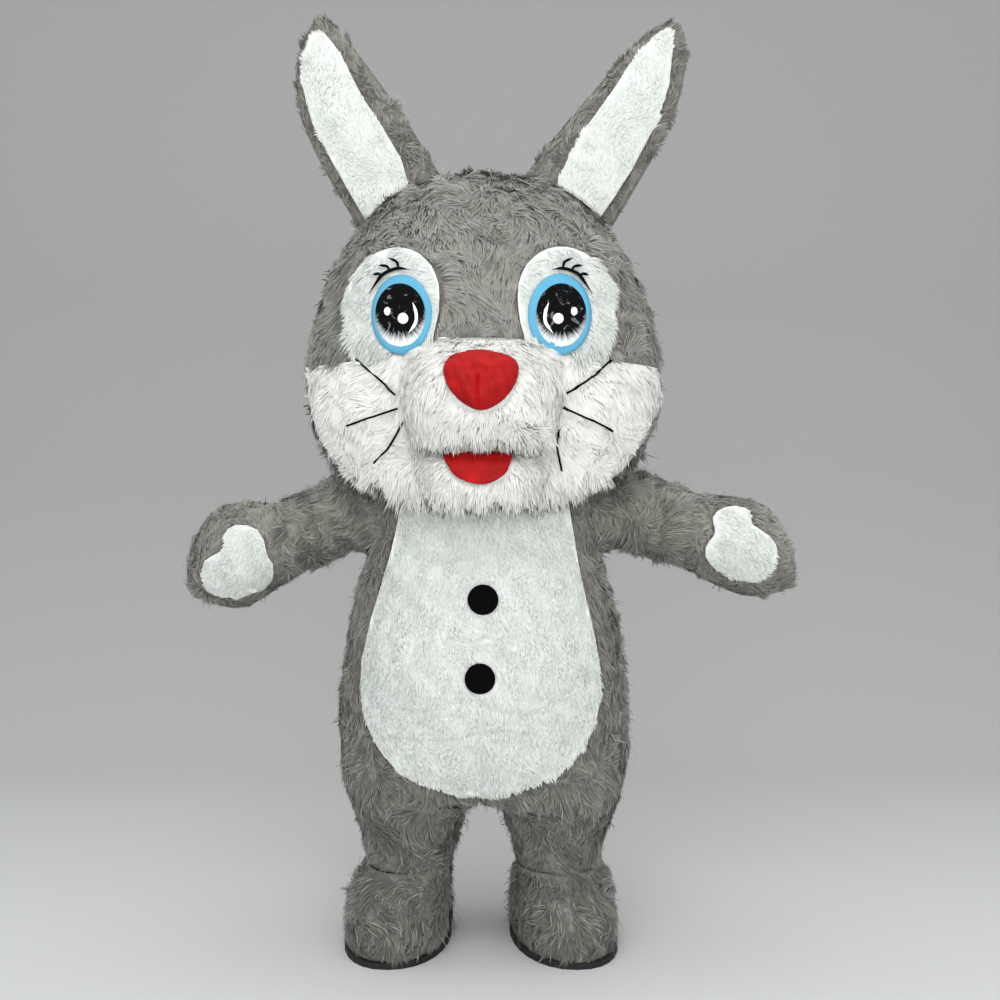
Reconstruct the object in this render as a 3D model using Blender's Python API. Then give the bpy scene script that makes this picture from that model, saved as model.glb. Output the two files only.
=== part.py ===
"""Rabbit mascot costume of plush cloth: hollow head, body suit, mittens and shoes. Metres, +Z up, front to -Y."""

import math

import bmesh
import bpy
from mathutils import Vector

# Sizes
PLUSH = 0.012
SEAM = 0.00015
CENTRE = Vector((-0.0195, 0.0705, 0.0))
FRONT_DEPTH = 0.82
BACK_DEPTH = 0.86
DOME_WIDTH = 0.4975
DOME_FOOT = 1.60

# Half of the suit from neck to ankle: centre of the ring, outer side, depth in front and behind
SUIT = [
    dict(z=1.2795, ring=0.0, side=0.235, front=0.193, back=0.202),
    dict(z=1.276, ring=0.0, side=0.298, front=0.226, back=0.230),
    dict(z=1.247, ring=0.0, side=0.317, front=0.246, back=0.242),
    dict(z=1.180, ring=0.0, side=0.319, front=0.261, back=0.250),
    dict(z=1.100, ring=0.0, side=0.328, front=0.277, back=0.257),
    dict(z=1.020, ring=0.0, side=0.341, front=0.296, back=0.267),
    dict(z=0.920, ring=0.0, side=0.374, front=0.315, back=0.281),
    dict(z=0.860, ring=0.0, side=0.384, front=0.322, back=0.288),
    dict(z=0.800, ring=0.0, side=0.393, front=0.331, back=0.296),
    dict(z=0.700, ring=0.0, side=0.402, front=0.336, back=0.305),
    dict(z=0.600, ring=0.002, side=0.406, front=0.332, back=0.310),
    dict(z=0.540, ring=0.022, side=0.407, front=0.322, back=0.307),
    dict(z=0.480, ring=0.070, side=0.402, front=0.302, back=0.298),
    dict(z=0.440, ring=0.120, side=0.396, front=0.282, back=0.284),
    dict(z=0.418, ring=0.160, side=0.388, front=0.266, back=0.272),
    dict(z=0.400, ring=0.1945, side=0.383, front=0.247, back=0.255),
    dict(z=0.385, ring=0.205, side=0.377, front=0.229, back=0.237),
    dict(z=0.350, ring=0.208, side=0.364, front=0.198, back=0.203),
    dict(z=0.310, ring=0.208, side=0.349, front=0.173, back=0.176),
    dict(z=0.255, ring=0.208, side=0.335, front=0.150, back=0.152),
    dict(z=0.2155, ring=0.208, side=0.328, front=0.139, back=0.139),
]

# Folds of the suit: height, reach over the width, depth and height of the fold
FOLDS = [
    dict(z=0.865, x=0.0, reach=0.17, deep=0.010, high=0.022),
    dict(z=0.660, x=-0.10, reach=0.16, deep=0.008, high=0.022),
    dict(z=0.600, x=0.12, reach=0.15, deep=0.007, high=0.022),
]

# Lower half of the head from neck to the widest ring
HEAD = [
    dict(r=0.235, z=1.280),
    dict(r=0.241, z=1.296),
    dict(r=0.300, z=1.297),
    dict(r=0.380, z=1.313),
    dict(r=0.430, z=1.350),
    dict(r=0.475, z=1.420),
    dict(r=0.500, z=1.512),
    dict(r=0.4975, z=1.600),
]
# Middle line of the chin: reach to the front and height over the rings of the head
CHIN = [
    dict(row=1.0, y=0.198, z=1.296),
    dict(row=1.4, y=0.268, z=1.263),
    dict(row=1.8, y=0.345, z=1.226),
    dict(row=2.3, y=0.425, z=1.222),
    dict(row=2.8, y=0.470, z=1.263),
    dict(row=3.3, y=0.472, z=1.308),
    dict(row=3.7, y=0.428, z=1.339),
    dict(row=4.0, y=0.353, z=1.350),
]
# The lower face hangs in front of the neck: how far it drops, round the head and over its rings
JAW = [
    dict(turn=0, drop=0.074),
    dict(turn=24, drop=0.074),
    dict(turn=33, drop=0.062),
    dict(turn=42, drop=0.042),
    dict(turn=54, drop=0.018),
    dict(turn=66, drop=0.0),
]
JAW_ROWS = [
    dict(row=1.0, share=0.0),
    dict(row=1.4, share=0.40),
    dict(row=1.8, share=0.84),
    dict(row=2.3, share=1.0),
    dict(row=2.8, share=0.82),
    dict(row=3.3, share=0.46),
    dict(row=3.7, share=0.15),
    dict(row=4.0, share=0.0),
]
HEAD_TURNS = [0, 6, 12, 18, 24, 33, 42, 54, 64, 73, 82, 90]
# How far the seam over the face lies above the widest ring
FACE_SEAM = [
    dict(turn=0, rise=0.034),
    dict(turn=12, rise=0.031),
    dict(turn=18, rise=0.020),
    dict(turn=24, rise=0.004),
    dict(turn=33, rise=-0.010),
    dict(turn=54, rise=-0.014),
    dict(turn=73, rise=-0.012),
    dict(turn=90, rise=0.0),
]
# Height of the upper half over its widest ring, across the width
DOME = [
    dict(turn=0, high=0.545),
    dict(turn=13, high=0.537),
    dict(turn=27, high=0.496),
    dict(turn=43, high=0.406),
    dict(turn=58.5, high=0.279),
    dict(turn=69.7, high=0.150),
    dict(turn=81.8, high=0.050),
    dict(turn=90, high=0.0),
]
GUSSET = 42
CHEEK_INNER = 24
CHEEK_OUTER = 73

# Ears: middle line, half width and half thickness from the root to the tip
EAR_LEFT = [
    dict(t=-0.12, x=-0.201, z=2.006, w=0.138, d=0.045),
    dict(t=0.0, x=-0.236, z=2.066, w=0.138, d=0.048),
    dict(t=0.325, x=-0.334, z=2.230, w=0.138, d=0.048),
    dict(t=0.527, x=-0.394, z=2.331, w=0.128, d=0.044),
    dict(t=0.70, x=-0.432, z=2.426, w=0.107, d=0.039),
    dict(t=0.823, x=-0.448, z=2.497, w=0.080, d=0.034),
    dict(t=0.908, x=-0.455, z=2.546, w=0.055, d=0.028),
    dict(t=1.0, x=-0.455, z=2.600, w=0.0, d=0.0),
]
EAR_RIGHT = [
    dict(t=-0.12, x=0.187, z=1.998, w=0.144, d=0.045),
    dict(t=0.0, x=0.229, z=2.059, w=0.144, d=0.048),
    dict(t=0.303, x=0.335, z=2.213, w=0.133, d=0.048),
    dict(t=0.52, x=0.412, z=2.322, w=0.121, d=0.044),
    dict(t=0.697, x=0.466, z=2.416, w=0.102, d=0.039),
    dict(t=0.851, x=0.508, z=2.504, w=0.072, d=0.032),
    dict(t=0.937, x=0.535, z=2.552, w=0.044, d=0.026),
    dict(t=1.0, x=0.554, z=2.586, w=0.0, d=0.0),
]
# White cloth on the ears: share of the half width on the outer and on the inner side
LINING = dict(
    l=[
        dict(t=0.0, outer=0.80, inner=0.27),
        dict(t=0.16, outer=0.79, inner=0.46),
        dict(t=0.325, outer=0.77, inner=0.46),
        dict(t=0.527, outer=0.77, inner=0.46),
        dict(t=0.70, outer=0.79, inner=0.48),
        dict(t=0.823, outer=0.76, inner=0.37),
        dict(t=0.89, outer=0.50, inner=0.12),
    ],
    r=[
        dict(t=0.0, outer=0.71, inner=0.30),
        dict(t=0.15, outer=0.73, inner=0.45),
        dict(t=0.303, outer=0.745, inner=0.55),
        dict(t=0.52, outer=0.67, inner=0.60),
        dict(t=0.697, outer=0.58, inner=0.64),
        dict(t=0.851, outer=0.32, inner=0.58),
        dict(t=0.91, outer=0.02, inner=0.42),
    ],
)

# Arms: x from the middle of the body, height of the middle line, half height and half depth
ARM_HOLE = dict(z=1.170, high=0.097, deep=0.116)
SLEEVE_LEFT = [
    dict(x=0.340, z=1.170, high=0.0967, deep=0.1157),
    dict(x=0.370, z=1.196, high=0.107, deep=0.120),
    dict(x=0.400, z=1.188, high=0.120, deep=0.122),
    dict(x=0.435, z=1.177, high=0.123, deep=0.122),
    dict(x=0.470, z=1.157, high=0.114, deep=0.116),
    dict(x=0.505, z=1.143, high=0.120, deep=0.121),
    dict(x=0.545, z=1.120, high=0.124, deep=0.122),
    dict(x=0.5717, z=1.106, high=0.120, deep=0.118),
]
SLEEVE_RIGHT = [
    dict(x=0.340, z=1.170, high=0.0967, deep=0.1157),
    dict(x=0.370, z=1.197, high=0.107, deep=0.120),
    dict(x=0.400, z=1.194, high=0.118, deep=0.122),
    dict(x=0.440, z=1.193, high=0.121, deep=0.123),
    dict(x=0.495, z=1.173, high=0.121, deep=0.123),
    dict(x=0.550, z=1.157, high=0.118, deep=0.121),
    dict(x=0.5877, z=1.138, high=0.113, deep=0.117),
]
MITTEN_LEFT = [
    dict(x=0.572, z=1.106, high=0.120, deep=0.118),
    dict(x=0.610, z=1.088, high=0.128, deep=0.121),
    dict(x=0.650, z=1.078, high=0.145, deep=0.122),
    dict(x=0.690, z=1.074, high=0.149, deep=0.122),
    dict(x=0.730, z=1.072, high=0.146, deep=0.118),
    dict(x=0.770, z=1.069, high=0.130, deep=0.107),
    dict(x=0.805, z=1.052, high=0.102, deep=0.089),
    dict(x=0.830, z=1.030, high=0.068, deep=0.062),
    dict(x=0.843, z=1.020, high=0.0, deep=0.0),
]
MITTEN_RIGHT = [
    dict(x=0.588, z=1.138, high=0.113, deep=0.117),
    dict(x=0.620, z=1.124, high=0.120, deep=0.121),
    dict(x=0.690, z=1.104, high=0.134, deep=0.122),
    dict(x=0.738, z=1.096, high=0.140, deep=0.122),
    dict(x=0.775, z=1.091, high=0.135, deep=0.117),
    dict(x=0.812, z=1.082, high=0.120, deep=0.105),
    dict(x=0.845, z=1.060, high=0.089, deep=0.086),
    dict(x=0.869, z=1.038, high=0.056, deep=0.060),
    dict(x=0.882, z=1.030, high=0.0, deep=0.0),
]
# White pads on the palms: their outlines
PAD = dict(
    l=[
        dict(x=-0.7021, z=1.1470),
        dict(x=-0.6799, z=1.1616),
        dict(x=-0.6467, z=1.1598),
        dict(x=-0.6168, z=1.1471),
        dict(x=-0.5990, z=1.1209),
        dict(x=-0.5910, z=1.0883),
        dict(x=-0.5869, z=1.0721),
        dict(x=-0.5760, z=1.0548),
        dict(x=-0.5760, z=1.0306),
        dict(x=-0.5830, z=1.0055),
        dict(x=-0.6070, z=0.9812),
        dict(x=-0.6381, z=0.9696),
        dict(x=-0.6843, z=0.9617),
        dict(x=-0.7231, z=0.9586),
        dict(x=-0.7559, z=0.9726),
        dict(x=-0.7711, z=1.0020),
        dict(x=-0.7715, z=1.0312),
        dict(x=-0.7620, z=1.0625),
        dict(x=-0.7418, z=1.0758),
        dict(x=-0.7177, z=1.0883),
        dict(x=-0.7038, z=1.1070),
        dict(x=-0.7096, z=1.1254),
    ],
    r=[
        dict(x=0.6272, z=1.1820),
        dict(x=0.6408, z=1.1988),
        dict(x=0.6659, z=1.2108),
        dict(x=0.6972, z=1.2138),
        dict(x=0.7224, z=1.2078),
        dict(x=0.7330, z=1.1930),
        dict(x=0.7324, z=1.1745),
        dict(x=0.7354, z=1.1621),
        dict(x=0.7558, z=1.1488),
        dict(x=0.7818, z=1.1302),
        dict(x=0.7992, z=1.1080),
        dict(x=0.8028, z=1.0821),
        dict(x=0.7937, z=1.0486),
        dict(x=0.7764, z=1.0226),
        dict(x=0.7481, z=1.0088),
        dict(x=0.7119, z=1.0071),
        dict(x=0.6790, z=1.0143),
        dict(x=0.6490, z=1.0292),
        dict(x=0.6212, z=1.0520),
        dict(x=0.6064, z=1.0746),
        dict(x=0.6043, z=1.0973),
        dict(x=0.6137, z=1.1158),
        dict(x=0.6282, z=1.1330),
        dict(x=0.6317, z=1.1490),
        dict(x=0.6273, z=1.1636),
    ],
)

# Shoes: half width, reach of the toe and of the heel, and share of the stance
SHOE_X = 0.208
SHOE = [
    dict(z=0.0163, wide=0.141, toe=0.242, heel=0.162, share=1.0),
    dict(z=0.045, wide=0.149, toe=0.254, heel=0.170, share=1.0),
    dict(z=0.090, wide=0.149, toe=0.250, heel=0.169, share=1.0),
    dict(z=0.130, wide=0.145, toe=0.233, heel=0.163, share=0.90),
    dict(z=0.170, wide=0.139, toe=0.203, heel=0.154, share=0.72),
    dict(z=0.198, wide=0.132, toe=0.168, heel=0.146, share=0.48),
    dict(z=0.215, wide=0.120, toe=0.139, heel=0.139, share=0.0),
]
# How far each foot stands out from under its leg, and its toe beyond that
STANCE = dict(
    l=dict(out=0.031, toe=0.012),
    r=dict(out=0.0125, toe=0.026),
)
SOLE = dict(thick=0.016, wide=0.147, toe=0.250, heel=0.168)

# White front: half width at each height
BELLY = [
    dict(z=1.262, left=0.215, right=0.222),
    dict(z=1.150, left=0.232, right=0.240),
    dict(z=1.020, left=0.266, right=0.262),
    dict(z=0.870, left=0.309, right=0.296),
    dict(z=0.740, left=0.327, right=0.312),
    dict(z=0.640, left=0.308, right=0.296),
    dict(z=0.550, left=0.246, right=0.236),
    dict(z=0.492, left=0.158, right=0.140),
    dict(z=0.468, left=0.050, right=0.050),
]

COLOURS = dict(
    grey_plush=(0.26, 0.245, 0.225, 1.0),
    white_plush=(0.86, 0.87, 0.86, 1.0),
    blue_felt=(0.15, 0.46, 0.76, 1.0),
    black_felt=(0.012, 0.012, 0.014, 1.0),
    red_satin=(0.55, 0.02, 0.03, 1.0),
    black_rubber=(0.015, 0.015, 0.015, 1.0),
)

for old in list(bpy.data.objects):
    bpy.data.objects.remove(old, do_unlink=True)
PARTS = bpy.data.collections.new("rabbit_mascot_costume")
bpy.context.scene.collection.children.link(PARTS)
CUTTERS = bpy.data.collections.new("cutters")
bpy.context.scene.collection.children.link(CUTTERS)


def read(table, key, at, column):
    """A column of a table at any place between its rows, along a smooth curve through them."""
    rows = table if table[0][key] < table[-1][key] else table[::-1]
    xs = [row[key] for row in rows]
    ys = [row[column] for row in rows]
    if at <= xs[0]:
        return ys[0]
    if at >= xs[-1]:
        return ys[-1]
    i = max(k for k in range(len(xs) - 1) if xs[k] <= at)
    steps = [(ys[k + 1] - ys[k]) / (xs[k + 1] - xs[k]) for k in range(len(xs) - 1)]

    def slope(k):
        if k == 0 or k == len(xs) - 1:
            return steps[min(k, len(steps) - 1)]
        if steps[k - 1] * steps[k] <= 0:
            return 0.0
        return 2 * steps[k - 1] * steps[k] / (steps[k - 1] + steps[k])

    h = xs[i + 1] - xs[i]
    t = (at - xs[i]) / h
    a = (2 * t**3 - 3 * t**2 + 1) * ys[i] + (t**3 - 2 * t**2 + t) * h * slope(i)
    b = (3 * t**2 - 2 * t**3) * ys[i + 1] + (t**3 - t**2) * h * slope(i + 1)
    return a + b


def finish(bm, name, colour, home):
    """The mesh as an object of its own, centred on the ground."""
    bmesh.ops.recalc_face_normals(bm, faces=bm.faces)
    for vert in bm.verts:
        vert.co += CENTRE
    mesh = bpy.data.meshes.new(name)
    bm.to_mesh(mesh)
    bm.free()
    obj = bpy.data.objects.new(name, mesh)
    home.objects.link(obj)
    if colour:
        paint = bpy.data.materials.new(name)
        paint.use_nodes = True
        base = paint.node_tree.nodes["Principled BSDF"]
        base.inputs["Base Color"].default_value = COLOURS[colour]
        base.inputs["Roughness"].default_value = 0.9
        mesh.materials.append(paint)
    else:
        obj.hide_render = True
        obj.display_type = "WIRE"
    return obj


def wall(name, colour, us, vs, outer, inner, joined=False, home=PARTS):
    """A piece of cloth: its outer points over the rows us and vs, and its inner points behind them."""
    bm = bmesh.new()
    bmesh.ops.create_grid(bm, x_segments=len(us) - 1, y_segments=len(vs) - 1, size=1.0)
    places = {}
    for vert in bm.verts:
        i = round((vert.co.x + 1) / 2 * (len(us) - 1))
        j = round((vert.co.y + 1) / 2 * (len(vs) - 1))
        places[vert] = (us[i], vs[j])
    flat = {(round(vert.co.x, 5), round(vert.co.y, 5)): place for vert, place in places.items()}
    moved = bmesh.ops.extrude_face_region(bm, geom=list(bm.faces), use_keep_orig=True)
    behind = [item for item in moved["geom"] if isinstance(item, bmesh.types.BMVert)]
    back = {vert: flat[(round(vert.co.x, 5), round(vert.co.y, 5))] for vert in behind}
    if joined:
        edge = (us[0], us[-1])
        rows = {**places, **back}
        ends = [
            face
            for face in bm.faces
            if all(rows[vert][0] == edge[0] for vert in face.verts)
            or all(rows[vert][0] == edge[1] for vert in face.verts)
        ]
        bmesh.ops.delete(bm, geom=ends, context="FACES_ONLY")
    for vert, place in back.items():
        vert.co = inner(*place)
    for vert, place in places.items():
        vert.co = outer(*place)
    bmesh.ops.remove_doubles(bm, verts=bm.verts, dist=0.00002)
    bmesh.ops.triangulate(bm, faces=bm.faces, quad_method="SHORT_EDGE")
    return finish(bm, name, colour, home)


def prism(name, outline, near=-1.2, far=0.0):
    """A cutter with this outline in x and z, straight through from front to back."""
    bm = bmesh.new()
    front = [bm.verts.new((x, near, z)) for x, z in outline]
    face = bm.faces.new(front)
    moved = bmesh.ops.extrude_face_region(bm, geom=[face], use_keep_orig=True)
    for item in moved["geom"]:
        if isinstance(item, bmesh.types.BMVert):
            item.co.y = far
    return finish(bm, name, None, CUTTERS)


def shape_with(obj, cutter, operation):
    cut = obj.modifiers.new(operation.lower() + "_" + cutter.name, "BOOLEAN")
    cut.object = cutter
    cut.operation = operation
    cut.solver = "EXACT"


def egg(x, z, half_width, half_height, lower_wide=0.0, count=28):
    rounds = [2 * math.pi * i / count for i in range(count)]
    return [
        (
            x + half_width * math.sin(a) * (1 - lower_wide * math.cos(a)),
            z + half_height * math.cos(a),
        )
        for a in rounds
    ]


# Suit
def suit_point(turn, z, side=1):
    """Point of the suit at this turn of its half ring, 0 at the side and -180 to 180 through the front."""
    ring = read(SUIT, "z", z, "ring")
    reach = read(SUIT, "z", z, "side") - ring
    a = math.radians(turn)
    depth = read(SUIT, "z", z, "front") if a < 0 else read(SUIT, "z", z, "back")
    x = ring + reach * math.cos(a)
    y = depth * math.sin(a)
    for fold in FOLDS:
        if a < 0:
            across = max(0.0, 1 - ((side * x - fold["x"]) / fold["reach"]) ** 2)
            near = math.exp(-(((z - fold["z"]) / fold["high"]) ** 2))
            y += fold["deep"] * near * across * abs(math.sin(a))
    return Vector((x, y, z))


def last_turn(z):
    ring = read(SUIT, "z", z, "ring")
    reach = read(SUIT, "z", z, "side") - ring
    return math.degrees(math.acos(max(-1.0, -ring / reach)))


def suit_out(turn, z, side):
    def away(t, h):
        return Vector((math.cos(math.radians(t)), math.sin(math.radians(t)), 0))

    along = suit_point(turn + 0.5, z, side) - suit_point(turn - 0.5, z, side)
    low = max(z - 0.004, SUIT[-1]["z"])
    high = min(z + 0.004, SUIT[0]["z"])
    across = suit_point(turn, high, side) - suit_point(turn, low, side)
    out = along.cross(across).normalized()
    return out if out.dot(away(turn, z)) > 0 else -out


def suit_panel(name, side, front):
    zs = [row["z"] for row in SUIT]
    us = [i / 8 for i in range(9)]
    sign = -1 if front else 1

    def place(u, z, deep):
        turn = sign * last_turn(z) * u
        if u == 0:
            turn = sign * 1e-6
        p = suit_point(turn, z, side)
        out = suit_out(turn, z, side)
        if u == 1 and abs(turn) < 179:
            out.x = min(out.x, 0.0)
            out.normalize()
        if u == 0:
            out.y = 0.0
            out.normalize()
        if z == SUIT[0]["z"]:
            out.z = min(out.z, 0.6)
        if z == SUIT[-1]["z"]:
            out.z = 0.0
            out.normalize()
        p -= out * deep
        if u == 1:
            p.x = max(p.x, 0.0)
        p.x = (p.x + SEAM) * side
        p.y += sign * SEAM
        return p

    return wall(
        name,
        "grey_plush",
        us,
        zs,
        lambda u, z: place(u, z, 0.0),
        lambda u, z: place(u, z, PLUSH),
    )


arm_cutters = {}
for side, label in ((-1, "l"), (1, "r")):
    bm = bmesh.new()
    bmesh.ops.create_circle(bm, cap_ends=True, segments=20, radius=1.0)
    for vert in bm.verts:
        vert.co = Vector(
            (
                side * 0.14,
                ARM_HOLE["deep"] * vert.co.x,
                ARM_HOLE["z"] + ARM_HOLE["high"] * vert.co.y,
            )
        )
    moved = bmesh.ops.extrude_face_region(bm, geom=list(bm.faces), use_keep_orig=True)
    for item in moved["geom"]:
        if isinstance(item, bmesh.types.BMVert):
            item.co.x = side * 0.5
    arm_cutters[label] = finish(bm, "arm_hole_" + label, None, CUTTERS)
    for front, word in ((True, "front_"), (False, "back_")):
        panel = suit_panel(word + label, side, front)
        shape_with(panel, arm_cutters[label], "DIFFERENCE")


def suit_cover(u, z, lift):
    """Front of the whole suit, moved out: u runs from the left side at -1 to the right side at 1."""
    side = -1 if u < 0 else 1
    turn = -last_turn(z) * (1 - abs(u))
    p = suit_point(turn, z, side)
    out = suit_out(turn, z, side)
    if u == 0:
        out.x = 0.0
        out.normalize()
    p += out * lift
    p.x = (p.x + SEAM) * side if u else 0.0
    p.y -= SEAM
    return p


def belly_outline():
    rows = [BELLY[0]["z"] + (BELLY[-1]["z"] - BELLY[0]["z"]) * i / 14 for i in range(15)]
    right = [(read(BELLY, "z", z, "right"), z) for z in rows]
    left = [(-read(BELLY, "z", z, "left"), z) for z in rows]
    return right + [(0.0, BELLY[-1]["z"] - 0.004)] + left[::-1]


cover_us = [i / 8 - 1 for i in range(17)]
cover_zs = [row["z"] for row in SUIT if 0.43 < row["z"] < 1.275]
belly = wall(
    "belly",
    "white_plush",
    cover_us,
    cover_zs,
    lambda u, z: suit_cover(u, z, 0.0095),
    lambda u, z: suit_cover(u, z, 0.0005),
)
shape_with(belly, prism("belly_cut", belly_outline()), "INTERSECT")
for name, z in (("button_top", 0.972), ("button_low", 0.768)):
    button = wall(
        name,
        "black_felt",
        cover_us[4:13],
        [row["z"] for row in SUIT if abs(row["z"] - z) < 0.13],
        lambda u, z: suit_cover(u, z, 0.0170),
        lambda u, z: suit_cover(u, z, 0.0100),
    )
    shape_with(button, prism(name + "_cut", egg(0.0, z, 0.040, 0.040, count=24)), "INTERSECT")


# Head
def swell(t):
    t = abs(t)
    return max(0.0, 1 - t**2.4) ** 0.72


def dome(across, up):
    """Height of a round cushion in its frame."""
    return max(0.0, 1 - abs(across) ** 2.5 - abs(up) ** 2.5) ** 0.62


def seam_rise(turn, row):
    """The upper rings of the face climb to its seam."""
    return read(FACE_SEAM, "turn", abs(turn), "rise") * max(0.0, (row - 4) / 3) ** 2 if abs(turn) < 90 else 0.0


def jaw(turn, row):
    """How far the lower face hangs down and forward here."""
    if abs(turn) >= 66 or not 1 < row < 4:
        return Vector((0.0, 0.0, 0.0))
    drop = read(JAW, "turn", abs(turn), "drop") * read(JAW_ROWS, "row", row, "share")
    return Vector((0.0, -0.45 * drop, -drop))


def head_point(turn, row):
    """Lower half of the head: turn 0 is the front, row counts the rings of HEAD from the neck up."""
    low = [dict(k=k, r=ring["r"], z=ring["z"]) for k, ring in enumerate(HEAD)]
    r = read(low, "k", row, "r")
    z = read(low, "k", row, "z")
    a = math.radians(turn)
    depth = FRONT_DEPTH if abs(turn) <= 90 else BACK_DEPTH
    p = Vector((r * math.sin(a), -depth * r * math.cos(a), z + seam_rise(turn, row))) + jaw(turn, row)
    if abs(turn) < CHEEK_INNER and row > 4:
        rise = dome(turn / CHEEK_INNER, (row - 5.5) / 1.5)
        p += Vector((0.13 * math.sin(a), -0.150, 0.0)) * rise
    if abs(turn) < CHEEK_INNER and 1 < row < 4:
        rise = swell(turn / CHEEK_INNER)
        line = Vector((p.x, -read(CHIN, "row", row, "y"), read(CHIN, "row", row, "z")))
        p = p.lerp(line, rise) + Vector((0.09 * math.sin(a), 0.0, 0.0)) * rise * swell((row - 2.5) / 1.5)
    if CHEEK_INNER < abs(turn) < CHEEK_OUTER and row > 1:
        middle = (CHEEK_INNER + CHEEK_OUTER) / 2
        half = (CHEEK_OUTER - CHEEK_INNER) / 2
        rise = swell((abs(turn) - middle) / half) * swell((row - 4) / 3)
        p += Vector((0.026 * math.sin(a), -0.052 * math.cos(a), -0.008)) * rise
    return p


def dome_point(turn, lift):
    """Upper half of the head: turn as in the ring below, lift 0 in front, 90 on top and 180 behind."""
    a = math.radians(turn)
    b = math.radians(lift)
    depth = FRONT_DEPTH if lift <= 90 else BACK_DEPTH
    high = read(DOME, "turn", abs(turn), "high")
    y = -depth * DOME_WIDTH * math.cos(a) * math.cos(b)
    foot = DOME_FOOT + seam_rise(turn, 7) * max(0.0, math.cos(b)) ** 2
    return Vector((DOME_WIDTH * math.sin(a), y, foot + high * math.sin(b)))


HEAD_HEART = Vector((0.0, 0.0, 1.58))


def head_out(point, u, v, u_range, v_range, step):
    """Straight out of the head, measured inside the given ranges."""
    u0 = max(u - step[0], u_range[0])
    u1 = min(u + step[0], u_range[1])
    v0 = max(v - step[1], v_range[0])
    v1 = min(v + step[1], v_range[1])
    out = (point(u1, v) - point(u0, v)).cross(point(u, v1) - point(u, v0))
    away = point(u, v) - HEAD_HEART
    if out.length < 1e-12:
        return away.normalized()
    return out.normalized()


def plain_ring(turn, row):
    """The head without its swellings, which the seams follow."""
    low = [dict(k=k, r=ring["r"], z=ring["z"]) for k, ring in enumerate(HEAD)]
    r = read(low, "k", row, "r")
    a = math.radians(turn)
    depth = FRONT_DEPTH if abs(turn) <= 90 else BACK_DEPTH
    z = read(low, "k", row, "z") + seam_rise(turn, row)
    return Vector((r * math.sin(a), -depth * r * math.cos(a), z)) + jaw(turn, row)


def head_panel(name, colour, turns, rows):
    """A panel of the lower half."""

    def place(turn, row, deep):
        p = head_point(turn, row)
        edge = plain_ring(turn, row)
        low = max(row - 0.05, 0.0)
        high = min(row + 0.05, 7.0)
        out = (plain_ring(turn + 0.5, row) - plain_ring(turn - 0.5, row)).cross(
            plain_ring(turn, high) - plain_ring(turn, low)
        )
        out.normalize()
        if out.dot(Vector((edge.x, edge.y, 0.0))) < 0:
            out = -out
        if row == 0 or row == 7:
            out.z = 0.0
            out.normalize()
        if row == 4 and abs(turn) <= CHEEK_INNER:
            out.z = -0.15
            out.normalize()
        # Inside the panel the wall follows its swelling
        side = min(abs(turn - turns[0]), abs(turn - turns[-1])) / 10
        ends = min(abs(row - rows[0]), abs(row - rows[-1])) / 0.8
        share = min(1.0, side) * min(1.0, ends)
        if share > 0:
            own = head_out(
                head_point,
                turn,
                row,
                (turns[0], turns[-1]),
                (rows[0], rows[-1]),
                (0.8, 0.08),
            )
            out = out.lerp(own, share).normalized()
        inset = Vector((0.0, 0.0, 0.0))
        if turn in (turns[0], turns[-1]):
            nudge = 0.5 if turn == turns[0] else -0.5
            inset += (plain_ring(turn + nudge, row) - plain_ring(turn, row)).normalized() * SEAM
        if row in (rows[0], rows[-1]) and 0 < row:
            nudge = 0.05 if row == rows[0] else -0.05
            inset += (plain_ring(turn, row + nudge) - plain_ring(turn, row)).normalized() * SEAM
        return p + inset - out * deep

    return wall(
        name,
        colour,
        turns,
        rows,
        lambda u, v: place(u, v, 0.0),
        lambda u, v: place(u, v, PLUSH),
    )


def dome_panel(name, turns, lifts):
    """A panel of the upper half."""

    def place(turn, lift, deep):
        p = dome_point(turn, lift)
        out = head_out(dome_point, turn, lift, (-90, 90), (0, 180), (0.5, 0.5))
        if abs(turn) == 90:
            out = Vector((math.copysign(1.0, turn), 0.0, 0.0))
        if lift in (0, 180):
            out.z = 0.0
            out.normalize()
        inset = Vector((0.0, 0.0, 0.0))
        if turn in (turns[0], turns[-1]) and abs(turn) != 90:
            nudge = 0.5 if turn == turns[0] else -0.5
            inset += (dome_point(turn + nudge, lift) - p).normalized() * SEAM
        if lift in (0, 180):
            inset.z += SEAM
        elif lift in (lifts[0], lifts[-1]):
            nudge = 0.5 if lift == lifts[0] else -0.5
            inset += (dome_point(turn, lift + nudge) - p).normalized() * SEAM
        if abs(turn) == 90:
            inset = Vector((0.0, 0.0, SEAM))
        return p + inset - out * deep

    return wall(
        name,
        "grey_plush",
        turns,
        lifts,
        lambda u, v: place(u, v, 0.0),
        lambda u, v: place(u, v, PLUSH),
    )


def both_ways(turns):
    return [-t for t in turns[::-1] if t > 0] + [t for t in turns if t >= 0]


low_rows = [0, 1.0, 1.4, 1.8, 2.3, 2.8, 3.3, 3.7, 4.0]
high_rows = [4.0, 4.5, 5.0, 5.5, 6.0, 6.5, 7.0]
front_lifts = [10 * i for i in range(10)]
back_lifts = [90 + 10 * i for i in range(10)]
gusset_turns = both_ways([t for t in HEAD_TURNS if t <= GUSSET])
side_turns = [t for t in HEAD_TURNS if t >= GUSSET]
face_turns = both_ways([t for t in HEAD_TURNS if t <= CHEEK_INNER])
cheek_turns = [t for t in HEAD_TURNS if CHEEK_INNER <= t <= CHEEK_OUTER]
nape_turns = [73, 82, 90] + [180 - t for t in HEAD_TURNS[::-1] if t < 90]

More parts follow.
